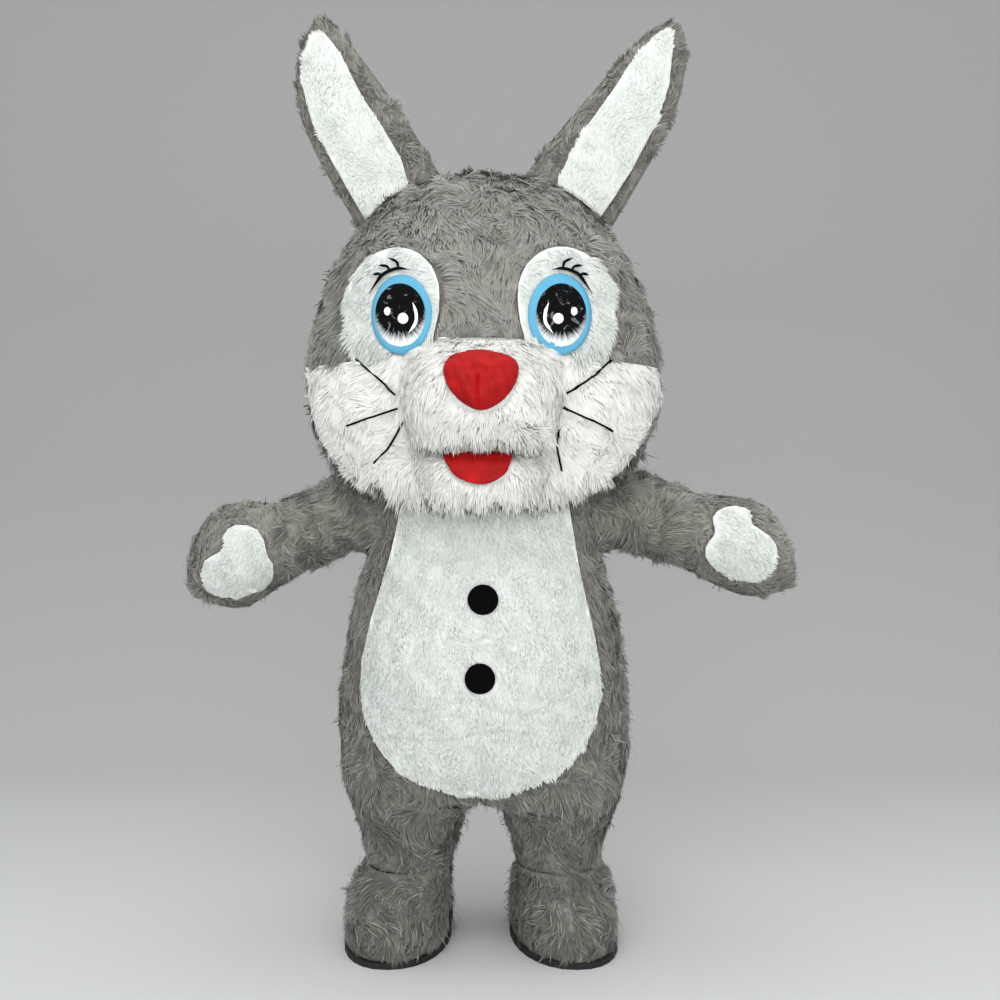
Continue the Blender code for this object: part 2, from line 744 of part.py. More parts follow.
dome_panel("forehead", gusset_turns, front_lifts)
dome_panel("crown_back", gusset_turns, back_lifts)
dome_panel("head_side_r", side_turns, front_lifts + back_lifts[1:])
dome_panel("head_side_l", [-t for t in side_turns[::-1]], front_lifts + back_lifts[1:])
head_panel("muzzle", "white_plush", face_turns, high_rows)
head_panel("chin", "white_plush", face_turns, low_rows)
head_panel("cheek_r", "white_plush", cheek_turns, low_rows + high_rows[1:])
head_panel("cheek_l", "white_plush", [-t for t in cheek_turns[::-1]], low_rows + high_rows[1:])
nape_rows = low_rows + high_rows[1:]
head_panel("nape_r", "grey_plush", nape_turns, nape_rows)
head_panel("nape_l", "grey_plush", [-t for t in nape_turns[::-1]], nape_rows)


def dome_cover(turn, lift, out_by):
    p = dome_point(turn, lift)
    return p + head_out(dome_point, turn, lift, (-90, 90), (0, 180), (0.5, 0.5)) * out_by


def face_cover(turn, row, out_by):
    out = head_out(head_point, turn, row, (-24, 24), (1.0, 4.0) if row <= 4 else (4.0, 7.0), (0.8, 0.08))
    return head_point(turn, row) + out * out_by


def laid(name, colour, us, vs, cover, low, high, outline, far=0.0):
    """A flat piece sewn on: the points of the panel under it, moved out, within its own outline."""
    piece = wall(
        name,
        colour,
        us,
        vs,
        lambda u, v: cover(u, v, high(u, v) if callable(high) else high),
        lambda u, v: cover(u, v, low),
    )
    shape_with(piece, prism(name + "_cut", outline, far=far), "INTERSECT")
    return piece


def patch_outline(x):
    """The patch round an eye: an egg that runs down to the seam over the cheek."""
    shape = []
    for a in [2 * math.pi * i / 32 for i in range(32)]:
        low = math.cos(a) < 0
        across = math.copysign(abs(math.sin(a)) ** (0.8 if low else 1.0), math.sin(a))
        shape.append((x + 0.127 * across, 1.740 + (0.190 if low else 0.138) * math.cos(a)))
    return shape


EYES = [
    dict(label="l", side=-1, patch=-0.233, x=-0.202, wide=0.0755, high=0.1005),
    dict(label="r", side=1, patch=0.216, x=0.194, wide=0.0785, high=0.1015),
]
for eye in EYES:
    turns = [t * eye["side"] for t in (6, 12, 18, 24, 33, 42, 54, 64)][:: eye["side"]]
    tag = eye["label"]
    lifts = [0.3] + front_lifts[1:6]
    patch = patch_outline(eye["patch"])
    laid("eye_patch_" + tag, "white_plush", turns, lifts, dome_cover, 0.0005, 0.0060, patch)
    disc = egg(eye["x"], 1.697, eye["wide"], eye["high"] - 0.004, count=28)
    laid("eye_" + tag, "blue_felt", turns, lifts, dome_cover, 0.0065, 0.0090, disc)
    dark = egg(eye["x"], 1.698, 0.063, 0.078, count=24)
    laid("pupil_" + tag, "black_felt", turns, lifts, dome_cover, 0.0095, 0.0115, dark)


def nose_outline():
    rounds = [2 * math.pi * i / 28 for i in range(28)]
    shape = []
    for a in rounds:
        across = math.copysign(abs(math.sin(a)) ** 0.8, math.sin(a))
        shape.append((0.082 * across * (1 + 0.16 * math.cos(a)), 1.508 + 0.067 * math.cos(a)))
    return shape


def nose_high(turn, row):
    p = head_point(turn, row)
    far = min(1.0, (p.x / 0.092) ** 2 + ((p.z - 1.508) / 0.075) ** 2)
    return 0.004 + 0.014 * (1 - far)


laid("nose", "red_satin", face_turns, high_rows, face_cover, 0.0006, nose_high, nose_outline())
smile = [(0.086 * math.cos(a), 1.342 - 0.072 * math.sin(a)) for a in [math.pi * i / 14 for i in range(15)]]
laid("mouth", "red_satin", face_turns, low_rows[3:], face_cover, 0.0006, 0.0036, smile, far=-0.37)


# Ears
def dome_height(x, y):
    """Height of the head's top at a place seen from above."""
    turn = math.degrees(math.asin(max(-1.0, min(1.0, x / DOME_WIDTH))))
    depth = (FRONT_DEPTH if y < 0 else BACK_DEPTH) * DOME_WIDTH * math.cos(math.radians(turn))
    rise = math.sqrt(max(0.0, 1 - (y / depth) ** 2)) if depth > 0 else 0.0
    return DOME_FOOT + read(DOME, "turn", abs(turn), "high") * rise


def ear_point(table, t, round_at, deep):
    """Point round the ear at t on its middle line; deep is how far inside its outer face."""
    wide = max(0.0, read(table, "t", t, "w") - deep)
    thick = max(0.0, read(table, "t", t, "d") - deep)
    ahead = Vector((read(table, "t", t + 0.02, "x"), 0.0, read(table, "t", t + 0.02, "z")))
    here = Vector((read(table, "t", t - 0.02, "x"), 0.0, read(table, "t", t - 0.02, "z")))
    along = (ahead - here).normalized()
    across = Vector((along.z, 0.0, -along.x))
    a = math.radians(round_at)
    middle = Vector((read(table, "t", t, "x"), 0.0, read(table, "t", t, "z")))
    return middle + across * wide * math.cos(a) + Vector((0.0, thick * math.sin(a), 0.0))


def ear_root(table, round_at, deep):
    low, high = -0.12, 0.35
    for _ in range(30):
        middle = (low + high) / 2
        p = ear_point(table, middle, round_at, deep)
        if p.z > dome_height(p.x, p.y) + 0.0012:
            high = middle
        else:
            low = middle
    return high


def ear_tip(table, deep):
    low, high = 0.7, 1.0
    if deep == 0:
        return 1.0
    for _ in range(30):
        middle = (low + high) / 2
        if min(read(table, "t", middle, "w"), read(table, "t", middle, "d")) > deep:
            low = middle
        else:
            high = middle
    return low


def ear_panel(name, colour, table, front, from_deep, to_deep, sweep, share, shift):
    roots = {}

    def place(u, v, deep):
        rounds = -sweep - (180 - 2 * sweep) * u if front else 180 * u
        start, stop = share
        if (rounds, deep) not in roots:
            roots[(rounds, deep)] = ear_root(table, rounds, deep)
        root = roots[(rounds, deep)]
        t = root + (ear_tip(table, deep) - root) * (start + (stop - start) * v)
        p = ear_point(table, t, rounds, deep)
        p.y += shift
        return p

    us = [i / 6 for i in range(7)]
    vs = [0, 0.14, 0.28, 0.42, 0.56, 0.68, 0.79, 0.88, 0.95, 1.0]
    return wall(
        name,
        colour,
        us,
        vs,
        lambda u, v: place(u, v, from_deep),
        lambda u, v: place(u, v, to_deep),
    )


for label, table in (("l", EAR_LEFT), ("r", EAR_RIGHT)):
    ear_panel("ear_back_" + label, "grey_plush", table, False, 0.0, PLUSH, 0, (0, 1), SEAM)
    ear_panel("ear_front_" + label, "grey_plush", table, True, 0.0, PLUSH, 0, (0, 1), -SEAM)


def ear_lining(label, table):
    """White cloth on the front of the ear, from the same lines round it."""
    us = [i / 6 for i in range(7)]
    vs = [0, 0.14, 0.28, 0.42, 0.56, 0.68, 0.79, 0.88, 0.95, 1.0]
    roots = {}

    def place(u, v, out_by):
        rounds = -180 * u
        if rounds not in roots:
            roots[rounds] = ear_root(table, rounds, 0.0)
        t = roots[rounds] + (1.0 - roots[rounds]) * v
        p = ear_point(table, t, rounds, 0.0)
        p.y -= SEAM + out_by * (0.35 + 0.65 * math.sin(math.pi * u))
        return p

    cover = wall(
        "ear_lining_" + label,
        "white_plush",
        us[1:-1],
        vs[:-1],
        lambda u, v: place(u, v, 0.0055),
        lambda u, v: place(u, v, 0.0005),
    )
    outline = []
    inner_side = 1 if label == "l" else -1
    for row in LINING[label]:
        t = row["t"]
        wide = read(table, "t", t, "w")
        middle = ear_point(table, t, 90, 0.0)
        edge = ear_point(table, t, 0, 0.0)
        across = (Vector((edge.x, 0, edge.z)) - Vector((middle.x, 0, middle.z))).normalized()
        if inner_side > 0:
            left, right = -row["outer"] * wide, row["inner"] * wide
        else:
            left, right = -row["inner"] * wide, row["outer"] * wide
        a = Vector((middle.x, 0, middle.z)) + across * left
        b = Vector((middle.x, 0, middle.z)) + across * right
        outline.append(((a.x, a.z), (b.x, b.z)))
    ring = [pair[1] for pair in outline] + [pair[0] for pair in outline[::-1]]
    shape_with(cover, prism("ear_lining_cut_" + label, ring, near=-1.2, far=-0.002), "INTERSECT")
    return cover


ear_lining("l", EAR_LEFT)
ear_lining("r", EAR_RIGHT)


# Sleeves and mittens
def suit_side(y, z):
    ring = read(SUIT, "z", z, "ring")
    reach = read(SUIT, "z", z, "side") - ring
    depth = read(SUIT, "z", z, "front" if y < 0 else "back")
    return ring + reach * math.sqrt(max(0.0, 1 - (y / depth) ** 2))


ROUND = [18 * i for i in range(21)]


def sleeve(name, table, side):
    """The first row of points stands in the arm hole, flush with the inside of the suit."""
    rows = [-1] + list(range(len(table)))

    def place(turn, row, deep):
        line = table[max(row, 0)]
        a = math.radians(turn)
        y = -(line["deep"] - deep) * math.cos(a)
        z = line["z"] + (line["high"] - deep) * math.sin(a)
        x = line["x"] if row >= 0 else suit_side(y, z) - PLUSH
        return Vector((side * x, y, z))

    return wall(
        name,
        "grey_plush",
        ROUND,
        rows,
        lambda u, v: place(u, v, 0.0),
        lambda u, v: place(u, v, PLUSH),
        joined=True,
    )


def mitten(name, table, side, front):
    """Half of a mitten, palm in front or back behind, closing at the finger tips."""
    us = ROUND[:11]
    rows = list(range(len(table)))
    sign = -1 if front else 1

    def place(turn, row, deep):
        line = table[row]
        a = math.radians(turn - 90)
        wide = max(0.0, line["high"] - deep)
        thick = max(0.0, line["deep"] - deep)
        x = line["x"] - (deep if row == rows[-1] else deep * 0.45 if row == rows[-2] else 0.0)
        p = Vector((side * x, sign * thick * math.cos(a), line["z"] + wide * math.sin(a)))
        p.y += sign * SEAM
        return p

    return wall(
        name,
        "grey_plush",
        us,
        rows,
        lambda u, v: place(u, v, 0.0),
        lambda u, v: place(u, v, PLUSH),
    )


def mitten_cover(table, side):
    def cover(turn, row, out_by):
        line = table[row]
        a = math.radians(turn - 90)
        p = Vector(
            (
                side * line["x"],
                -line["deep"] * math.cos(a),
                line["z"] + line["high"] * math.sin(a),
            )
        )
        p.y -= SEAM + out_by
        return p

    return cover


for label, side, arm, hand in (("l", -1, SLEEVE_LEFT, MITTEN_LEFT), ("r", 1, SLEEVE_RIGHT, MITTEN_RIGHT)):
    sleeve("sleeve_" + label, arm, side)
    mitten("mitten_palm_" + label, hand, side, True)
    mitten("mitten_back_" + label, hand, side, False)
    outline = [(spot["x"], spot["z"]) for spot in PAD[label]]
    cover = mitten_cover(hand, side)
    rows = list(range(len(hand) - 1))
    laid("paw_pad_" + label, "white_plush", ROUND[1:10], rows, cover, 0.0006, 0.0050, outline)


# Shoes
def stance(label, y, share):
    """How far out of the line of its leg the shoe stands here."""
    return share * (STANCE[label]["out"] - STANCE[label]["toe"] * y / SOLE["toe"])


def shoe(name, label, side):
    turns = [18 * i for i in range(21)]

    def place(turn, row, deep):
        line = SHOE[row]
        a = math.radians(turn)
        long = line["toe"] if math.cos(a) >= 0 else line["heel"]
        x = (line["wide"] - deep) * math.copysign(abs(math.sin(a)) ** 0.92, math.sin(a))
        y = -(long - deep) * math.copysign(abs(math.cos(a)) ** 0.92, math.cos(a))
        return Vector((side * (SHOE_X + stance(label, y, line["share"])) + x, y, line["z"]))

    return wall(
        name,
        "grey_plush",
        turns,
        list(range(len(SHOE))),
        lambda u, v: place(u, v, 0.0),
        lambda u, v: place(u, v, PLUSH),
        joined=True,
    )


def sole(name, label, side):
    bm = bmesh.new()
    bmesh.ops.create_circle(bm, cap_ends=True, segments=28, radius=1.0)
    for vert in bm.verts:
        long = SOLE["toe"] if vert.co.y < 0 else SOLE["heel"]
        x = SOLE["wide"] * math.copysign(abs(vert.co.x) ** 0.92, vert.co.x)
        y = long * math.copysign(abs(vert.co.y) ** 0.92, vert.co.y)
        vert.co = Vector((side * (SHOE_X + stance(label, y, 1.0)) + x, y, 0.0))
    moved = bmesh.ops.extrude_face_region(bm, geom=list(bm.faces), use_keep_orig=True)
    for item in moved["geom"]:
        if isinstance(item, bmesh.types.BMVert):
            item.co.z = SOLE["thick"]
    return finish(bm, name, "black_rubber", PARTS)


for label, side in (("l", -1), ("r", 1)):
    shoe("shoe_" + label, label, side)
    sole("sole_" + label, label, side)
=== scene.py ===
"""Rabbit mascot costume in fur plush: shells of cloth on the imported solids, the pile that grows on them,
the face and the felt and satin pieces that are sewn on, with the camera, floor and lights."""

import math

import bmesh
import bpy
import numpy as np
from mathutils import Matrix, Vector
from mathutils.bvhtree import BVHTree
from mathutils.kdtree import KDTree


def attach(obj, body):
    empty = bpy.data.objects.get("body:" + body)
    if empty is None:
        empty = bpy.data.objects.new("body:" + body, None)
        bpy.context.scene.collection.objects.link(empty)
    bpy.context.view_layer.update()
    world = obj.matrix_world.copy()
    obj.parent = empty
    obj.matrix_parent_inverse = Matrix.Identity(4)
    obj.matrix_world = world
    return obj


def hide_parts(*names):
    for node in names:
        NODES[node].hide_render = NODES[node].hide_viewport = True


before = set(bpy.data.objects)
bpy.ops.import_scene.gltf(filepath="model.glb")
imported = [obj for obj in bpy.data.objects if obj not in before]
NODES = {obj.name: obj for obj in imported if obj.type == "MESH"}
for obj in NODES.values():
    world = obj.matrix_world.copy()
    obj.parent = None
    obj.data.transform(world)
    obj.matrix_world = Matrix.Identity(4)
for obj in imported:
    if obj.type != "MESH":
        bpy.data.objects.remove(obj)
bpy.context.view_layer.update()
bpy.ops.object.select_all(action="DESELECT")

# Camera, level at the photograph's height; at distance one, 1178 of the picture's pixels are one wide
PICTURE = 1000.0
PIXELS_PER_UNIT = 1178.0
SENSOR_MM = 36.0
eye = Vector((0.0255, -3.2595, 1.229))
camera_data = bpy.data.cameras.new("camera")
camera_data.sensor_width = SENSOR_MM
camera_data.lens = PIXELS_PER_UNIT * SENSOR_MM / PICTURE
camera = bpy.data.objects.new("camera", camera_data)
camera.location = eye
camera.rotation_euler = (math.radians(90), 0, 0)
bpy.context.scene.collection.objects.link(camera)
bpy.context.scene.camera = camera
bpy.context.scene.view_settings.view_transform = "Standard"


# Colours and materials
def linear(text):
    """An sRGB hex colour as linear red, green, blue and alpha."""
    parts = [int(text[i : i + 2], 16) / 255 for i in (1, 3, 5)]
    return tuple(c / 12.92 if c <= 0.04045 else ((c + 0.055) / 1.055) ** 2.4 for c in parts) + (1.0,)


def node(tree, kind, settings=(), links=()):
    """A node with its settings and its links: a setting's name is an input's or a property's."""
    made = tree.nodes.new(kind)
    for name, value in dict(settings).items():
        if isinstance(name, int) or name in made.inputs:
            made.inputs[name].default_value = value
        else:
            setattr(made, name, value)
    for name, source in dict(links).items():
        tree.links.new(source, made.inputs[name])
    return made


def fresh(name, settings):
    """A material with its Principled shader set."""
    paint = bpy.data.materials.new(name)
    paint.use_nodes = True
    shader = paint.node_tree.nodes["Principled BSDF"]
    for key, value in settings.items():
        shader.inputs[key].default_value = value
    return paint, paint.node_tree, shader


def ramp(tree, source, stops):
    """Colours between stops along this source."""
    made = node(tree, "ShaderNodeValToRGB", links={"Fac": source})
    band = made.color_ramp
    while len(band.elements) < len(stops):
        band.elements.new(0.5)
    for element, (place, colour) in zip(band.elements, stops):
        element.position = place
        element.color = linear(colour)
    return made.outputs["Color"]


def pile_fibre(name, along, shades, rough=0.62, sheen=0.25):
    """Acrylic pile fibre: darker at the root with painted shade where the fibres are packed, lighter and a
    little glossy at the tip.
    """
    paint, tree, shader = fresh(
        name,
        {"Roughness": rough, "Specular IOR Level": 0.28, "Sheen Weight": sheen, "Sheen Roughness": 0.5},
    )
    spot = node(tree, "ShaderNodeUVMap", {"uv_map": "pile"})
    parts = node(tree, "ShaderNodeSeparateXYZ", links={"Vector": spot.outputs["UV"]})
    # Painted shade: each fibre darker at its root, lighter towards its tip
    grown = ramp(tree, parts.outputs["Y"], along)
    tint = ramp(tree, parts.outputs["X"], shades)
    mixed = node(
        tree,
        "ShaderNodeMix",
        {"data_type": "RGBA", "blend_type": "MULTIPLY", 0: 1.0},
        {6: grown, 7: tint},
    )
    tree.links.new(mixed.outputs[2], shader.inputs["Base Color"])
    return paint


def knitted_back(name, dark, light):
    """Knitted backing seen between the fibres: matt, with rows of stitches 2 mm apart, drawn coarse."""
    paint, tree, shader = fresh(name, {"Roughness": 0.95, "Specular IOR Level": 0.1})
    place = node(tree, "ShaderNodeTexCoord").outputs["Object"]
    clumps = node(tree, "ShaderNodeTexNoise", {"Scale": 60.0, "Detail": 4.0}, {"Vector": place})
    colour = ramp(tree, clumps.outputs["Fac"], [(0.35, dark), (0.7, light)])
    rows = node(tree, "ShaderNodeTexWave", {"Scale": 80.0, "Distortion": 3.0}, {"Vector": place})
    raised = {"Height": rows.outputs["Fac"]}
    bump = node(tree, "ShaderNodeBump", {"Strength": 0.5, "Distance": 0.003}, raised)
    tree.links.new(colour, shader.inputs["Base Color"])
    tree.links.new(bump.outputs["Normal"], shader.inputs["Normal"])
    return paint


def satin(name):
    """Woven satin pulled over padding: a dull shine, with puckers 20 mm apart."""
    paint, tree, shader = fresh(
        name,
        {"Roughness": 0.6, "Specular IOR Level": 0.14},
    )
    place = node(tree, "ShaderNodeTexCoord").outputs["Object"]
    cloud = node(tree, "ShaderNodeTexNoise", {"Scale": 26.0, "Detail": 3.0}, {"Vector": place})
    colour = ramp(tree, cloud.outputs["Fac"], [(0.3, "#860608"), (0.55, "#9a0b0d"), (0.75, "#ab1113")])
    puckers = {"Scale": 42.0, "Detail": 4.0, "Distortion": 1.2}
    pucker = node(tree, "ShaderNodeTexNoise", puckers, {"Vector": place})
    raised = {"Height": pucker.outputs["Fac"]}
    bump = node(tree, "ShaderNodeBump", {"Strength": 0.6, "Distance": 0.006}, raised)
    tree.links.new(colour, shader.inputs["Base Color"])
    tree.links.new(bump.outputs["Normal"], shader.inputs["Normal"])
    return paint


def felt(name, dark, light, rough=0.95):
    """Pressed felt: matt, with short fibres lying every way, 3 mm clumps."""
    paint, tree, shader = fresh(name, {"Roughness": rough, "Specular IOR Level": 0.06})
    place = node(tree, "ShaderNodeTexCoord").outputs["Object"]
    clumps = {"Scale": 240.0, "Detail": 5.0, "Roughness": 0.7}
    fuzz = node(tree, "ShaderNodeTexNoise", clumps, {"Vector": place})
    colour = ramp(tree, fuzz.outputs["Fac"], [(0.3, dark), (0.7, light)])
    raised = {"Height": fuzz.outputs["Fac"]}
    bump = node(tree, "ShaderNodeBump", {"Strength": 0.4, "Distance": 0.001}, raised)
    tree.links.new(colour, shader.inputs["Base Color"])
    tree.links.new(bump.outputs["Normal"], shader.inputs["Normal"])
    return paint


def pupil_cloth(name):
    """Black printed satin with pale streaks running in from the lower edge and a thin white rim."""
    paint, tree, shader = fresh(name, {"Roughness": 0.7, "Specular IOR Level": 0.06})
    spot = node(tree, "ShaderNodeUVMap", {"uv_map": "round"})
    parts = node(tree, "ShaderNodeSeparateXYZ", links={"Vector": spot.outputs["UV"]})
    turn, reach = parts.outputs["X"], parts.outputs["Y"]
    fine = node(tree, "ShaderNodeCombineXYZ", links={"X": turn})
    streaks = {"Scale": 46.0, "Detail": 3.0, "Roughness": 0.7}
    streak = node(tree, "ShaderNodeTexNoise", streaks, {"Vector": fine.outputs[0]})
    angle = node(tree, "ShaderNodeMath", {"operation": "MULTIPLY", 1: 2 * math.pi}, {0: turn})
    side = node(tree, "ShaderNodeMath", {"operation": "COSINE"}, {0: angle.outputs[0]})
    raised = node(tree, "ShaderNodeMath", {"operation": "ADD", 1: 0.22}, {0: side.outputs[0]})
    low = node(tree, "ShaderNodeMath", {"operation": "MAXIMUM", 1: 0.0}, {0: raised.outputs[0]})
    # The streaks run in from the rim, furthest at the bottom
    lengthen = {"operation": "MULTIPLY_ADD", 1: 0.85, 2: -0.10}
    long = node(tree, "ShaderNodeMath", lengthen, {0: streak.outputs["Fac"]})
    deep = node(tree, "ShaderNodeMath", {"operation": "MULTIPLY"}, {0: low.outputs[0], 1: long.outputs[0]})
    level = node(tree, "ShaderNodeMath", {"operation": "ADD"}, {0: reach, 1: deep.outputs[0]})
    past = node(tree, "ShaderNodeMath", {"operation": "SUBTRACT", 1: 0.985}, {0: level.outputs[0]})
    sharpen = {"operation": "MULTIPLY", 1: 2.6, "use_clamp": True}
    gain = node(tree, "ShaderNodeMath", sharpen, {0: past.outputs[0]})
    place = node(tree, "ShaderNodeTexCoord").outputs["Object"]
    scuffs = {"Scale": 24.0, "Detail": 3.0, "Distortion": 2.2}
    scuff = node(tree, "ShaderNodeTexNoise", scuffs, {"Vector": place})
    colour = ramp(tree, scuff.outputs["Fac"], [(0.0, "#030304"), (0.60, "#060708"), (0.66, "#63686c")])
    mixed = node(
        tree,
        "ShaderNodeMix",
        {"data_type": "RGBA", 7: linear("#eef1f2")},
        {0: gain.outputs[0], 6: colour},
    )
    tree.links.new(mixed.outputs[2], shader.inputs["Base Color"])
    return paint


def plain(name, colour, rough, bump_scale, spec=0.3):
    """A plain finish with a fine grain."""
    paint, tree, shader = fresh(name, {"Roughness": rough, "Specular IOR Level": spec})
    place = node(tree, "ShaderNodeTexCoord").outputs["Object"]
    grain = node(tree, "ShaderNodeTexNoise", {"Scale": bump_scale, "Detail": 3.0}, {"Vector": place})
    light = ramp(tree, grain.outputs["Fac"], [(0.3, colour[0]), (0.7, colour[1])])
    raised = {"Height": grain.outputs["Fac"]}
    bump = node(tree, "ShaderNodeBump", {"Strength": 0.2, "Distance": 0.001}, raised)
    tree.links.new(light, shader.inputs["Base Color"])
    tree.links.new(bump.outputs["Normal"], shader.inputs["Normal"])
    return paint


GREY_SHADES = [(0.0, "#b6b6b0"), (0.4, "#e2e2dc"), (0.8, "#f4f4ee"), (1.0, "#ffffff")]
WHITE_SHADES = [(0.0, "#eff1f0"), (0.4, "#fafbfa"), (1.0, "#ffffff")]
# The first stops of each pile are painted shade at the root, running to the tip's own colour
grey_pile = pile_fibre(
    "acrylic_pile_grey",
    [(0.0, "#6f6e69"), (0.45, "#85847e"), (0.8, "#979690"), (1.0, "#a8a7a0")],
    GREY_SHADES,
)
white_pile = pile_fibre(
    "acrylic_pile_white",
    [(0.0, "#cacbc7"), (0.5, "#d4d4d0"), (1.0, "#dfdfdb")],
    WHITE_SHADES,
    rough=0.55,
    sheen=0.15,
)
short_pile = pile_fibre(
    "acrylic_pile_white_short",
    [(0.0, "#c2c6c2"), (0.5, "#cdd1cd"), (1.0, "#d8dcd8")],
    WHITE_SHADES,
    rough=0.6,
    sheen=0.1,
)
grey_back = knitted_back("knitted_backing_grey", "#6b6a65", "#85847e")
white_back = knitted_back("knitted_backing_white", "#d6d8d5", "#e4e5e3")
red_satin = satin("woven_satin_red")
blue_felt = felt("pressed_felt_blue", "#5094b4", "#61a2be")
black_felt = felt("pressed_felt_black", "#020203", "#060607")
black_thread = plain("embroidery_thread_black", ("#020203", "#08080a"), 0.8, 400.0, 0.05)
white_thread = plain("embroidery_thread_white", ("#e4e6e6", "#fbfbfb"), 0.5, 400.0)
pupil_paint = pupil_cloth("printed_satin_black")
sole_rubber = plain("moulded_rubber_black", ("#0d0d0f", "#1b1b1d"), 0.7, 90.0, 0.35)


SEAM_HELD = 0.12  # of the depth at which the backing lies, at a seam
SEAM_SLOPE = 0.025  # over this far from a seam the backing goes down to its full depth


# What a ray meets
def tree_of(names):
    """The solids of these nodes, to cast rays at."""
    points, faces = [], []
    for name in names:
        mesh = NODES[name].data
        start = len(points)
        points += [v.co.copy() for v in mesh.vertices]
        faces += [tuple(start + i for i in p.vertices) for p in mesh.polygons]
    return BVHTree.FromPolygons(points, faces)


LAID = [
    "belly",
    "button_low",
    "button_top",
    "ear_lining_l",
    "ear_lining_r",
    "eye_l",
    "eye_patch_l",
    "eye_patch_r",
    "eye_r",
    "mouth",
    "nose",
    "paw_pad_l",
    "paw_pad_r",
    "pupil_l",
    "pupil_r",
]
PANELS = [name for name in NODES if name not in LAID]
panel_tree = tree_of(PANELS)
GOLDEN = math.pi * (3 - math.sqrt(5))
SKY_RAYS = 22
SKY = [
    Vector(
        (
            math.cos(GOLDEN * i) * math.sqrt((i + 0.5) / SKY_RAYS),
            math.sin(GOLDEN * i) * math.sqrt((i + 0.5) / SKY_RAYS),
            math.sqrt(1 - (i + 0.5) / SKY_RAYS),
        )
    )
    for i in range(SKY_RAYS)
]
SKY_NEEDED = 2  # a face with fewer open rays is inside or in a seam
SKY_FAR = 3.0


def open_sky(place, out):
    """How many of the rays from this place meet no panel."""
    turn = out.to_track_quat("Z", "Y")
    start = place + out * 0.0012
    return sum(panel_tree.ray_cast(start, turn @ ray, SKY_FAR)[0] is None for ray in SKY)


def outside(name):
    """The outer faces of a node as a welded, rounded skin."""
    bm = bmesh.new()
    bm.from_mesh(NODES[name].data)
    bmesh.ops.remove_doubles(bm, verts=bm.verts, dist=0.00002)
    bm.normal_update()
    if name in LAID:
        # What is laid on faces the front, and its back lies on the cloth
        hidden = [f for f in bm.faces if f.normal.y > -0.12]
    else:
        hidden = [f for f in bm.faces if open_sky(f.calc_center_median(), f.normal) < SKY_NEEDED]
    bmesh.ops.delete(bm, geom=hidden, context="FACES")
    # Only the largest stretch is cloth; what is left of the rims is dropped
    seen, stretches = set(), []
    for face in bm.faces:
        if face in seen:
            continue
        stretch, queue = [], [face]
        seen.add(face)
        while queue:
            one = queue.pop()
            stretch.append(one)
            for edge in one.edges:
                for other in edge.link_faces:
                    if other not in seen:
                        seen.add(other)
                        queue.append(other)
        stretches.append(stretch)
    stretches.sort(key=lambda s: -sum(f.calc_area() for f in s))
    bmesh.ops.delete(bm, geom=[f for s in stretches[1:] for f in s], context="FACES")
    bmesh.ops.join_triangles(
        bm,
        faces=bm.faces,
        angle_face_threshold=math.radians(25),
        angle_shape_threshold=math.radians(50),
    )
    mesh = bpy.data.meshes.new(name + "_cloth")
    bm.to_mesh(mesh)
    bm.free()
    cloth = bpy.data.objects.new(name + "_cloth", mesh)
    bpy.context.scene.collection.objects.link(cloth)
    round_off = cloth.modifiers.new("round", "SUBSURF")
    round_off.levels = 1
    round_off.render_levels = 1
    round_off.boundary_smooth = "PRESERVE_CORNERS"
    bpy.context.view_layer.objects.active = cloth
    cloth.select_set(True)
    bpy.ops.object.modifier_apply(modifier="round")
    cloth.select_set(False)
    return cloth


def arrays(cloth):
    """Triangles of a skin: corners, their normals, and the points of its rim."""
    mesh = cloth.data
    mesh.calc_loop_triangles()
    places = np.empty(len(mesh.vertices) * 3)
    mesh.vertices.foreach_get("co", places)
    places = places.reshape(-1, 3)
    bm = bmesh.new()
    bm.from_mesh(mesh)
    bm.normal_update()
    outs = np.array([v.normal[:] for v in bm.verts])
    rim = [v.co.copy() for v in bm.verts if v.is_boundary]
    bm.free()
    index = np.empty(len(mesh.loop_triangles) * 3, np.int32)
    mesh.loop_triangles.foreach_get("vertices", index)
    index = index.reshape(-1, 3)
    return places[index], outs[index], rim


def nearest(places):
    """These places, to find the nearest of them."""
    tree = KDTree(len(places))
    for i, place in enumerate(places):
        tree.insert(Vector(place), i)
    tree.balance()
    return tree


def shell(cloth, name, depth, thick, backing):
    """The cloth itself, set back under its pile but not at its seams, as a thin sheet."""
    mesh = cloth.data
    bm = bmesh.new()
    bm.from_mesh(mesh)
    bm.normal_update()
    edge = nearest([vert.co.copy() for vert in bm.verts if vert.is_boundary])
    sunk = [SEAM_HELD + (1 - SEAM_HELD) * min(1.0, edge.find(v.co)[2] / SEAM_SLOPE) for v in bm.verts]
    for vert, move in [(v, v.normal * depth * share) for v, share in zip(bm.verts, sunk)]:
        vert.co -= move
    area = sum(f.calc_area() for f in bm.faces)
    bm.to_mesh(mesh)
    bm.free()
    wall = cloth.modifiers.new("wall", "SOLIDIFY")
    wall.thickness = thick
    wall.offset = -1.0
    bpy.context.view_layer.objects.active = cloth
    cloth.select_set(True)
    bpy.ops.object.modifier_apply(modifier="wall")
    bpy.ops.object.shade_smooth()
    cloth.select_set(False)
    mesh.materials.clear()
    mesh.materials.append(backing)
    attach(cloth, "root")
    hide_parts(name)
    return area


# Pieces placed by the photograph's view
OVER_SEAM = 0.003  # a laid piece stands this far off the seam that it crosses


def sight(px, py):
    """The line of sight through this point of the picture."""
    middle = PICTURE / 2
    return Vector(((px - middle) / PIXELS_PER_UNIT, 1.0, (middle - py) / PIXELS_PER_UNIT))


def seen_at(px, py, tree, lift):
    """Where the line of sight through this point of the picture meets the costume, moved out."""
    way = sight(px, py).normalized()
    hit, out, _, _ = tree.ray_cast(eye, way)
    if hit is None:
        return None
    if out.dot(way) > 0:
        out = -out
    return hit + out * lift


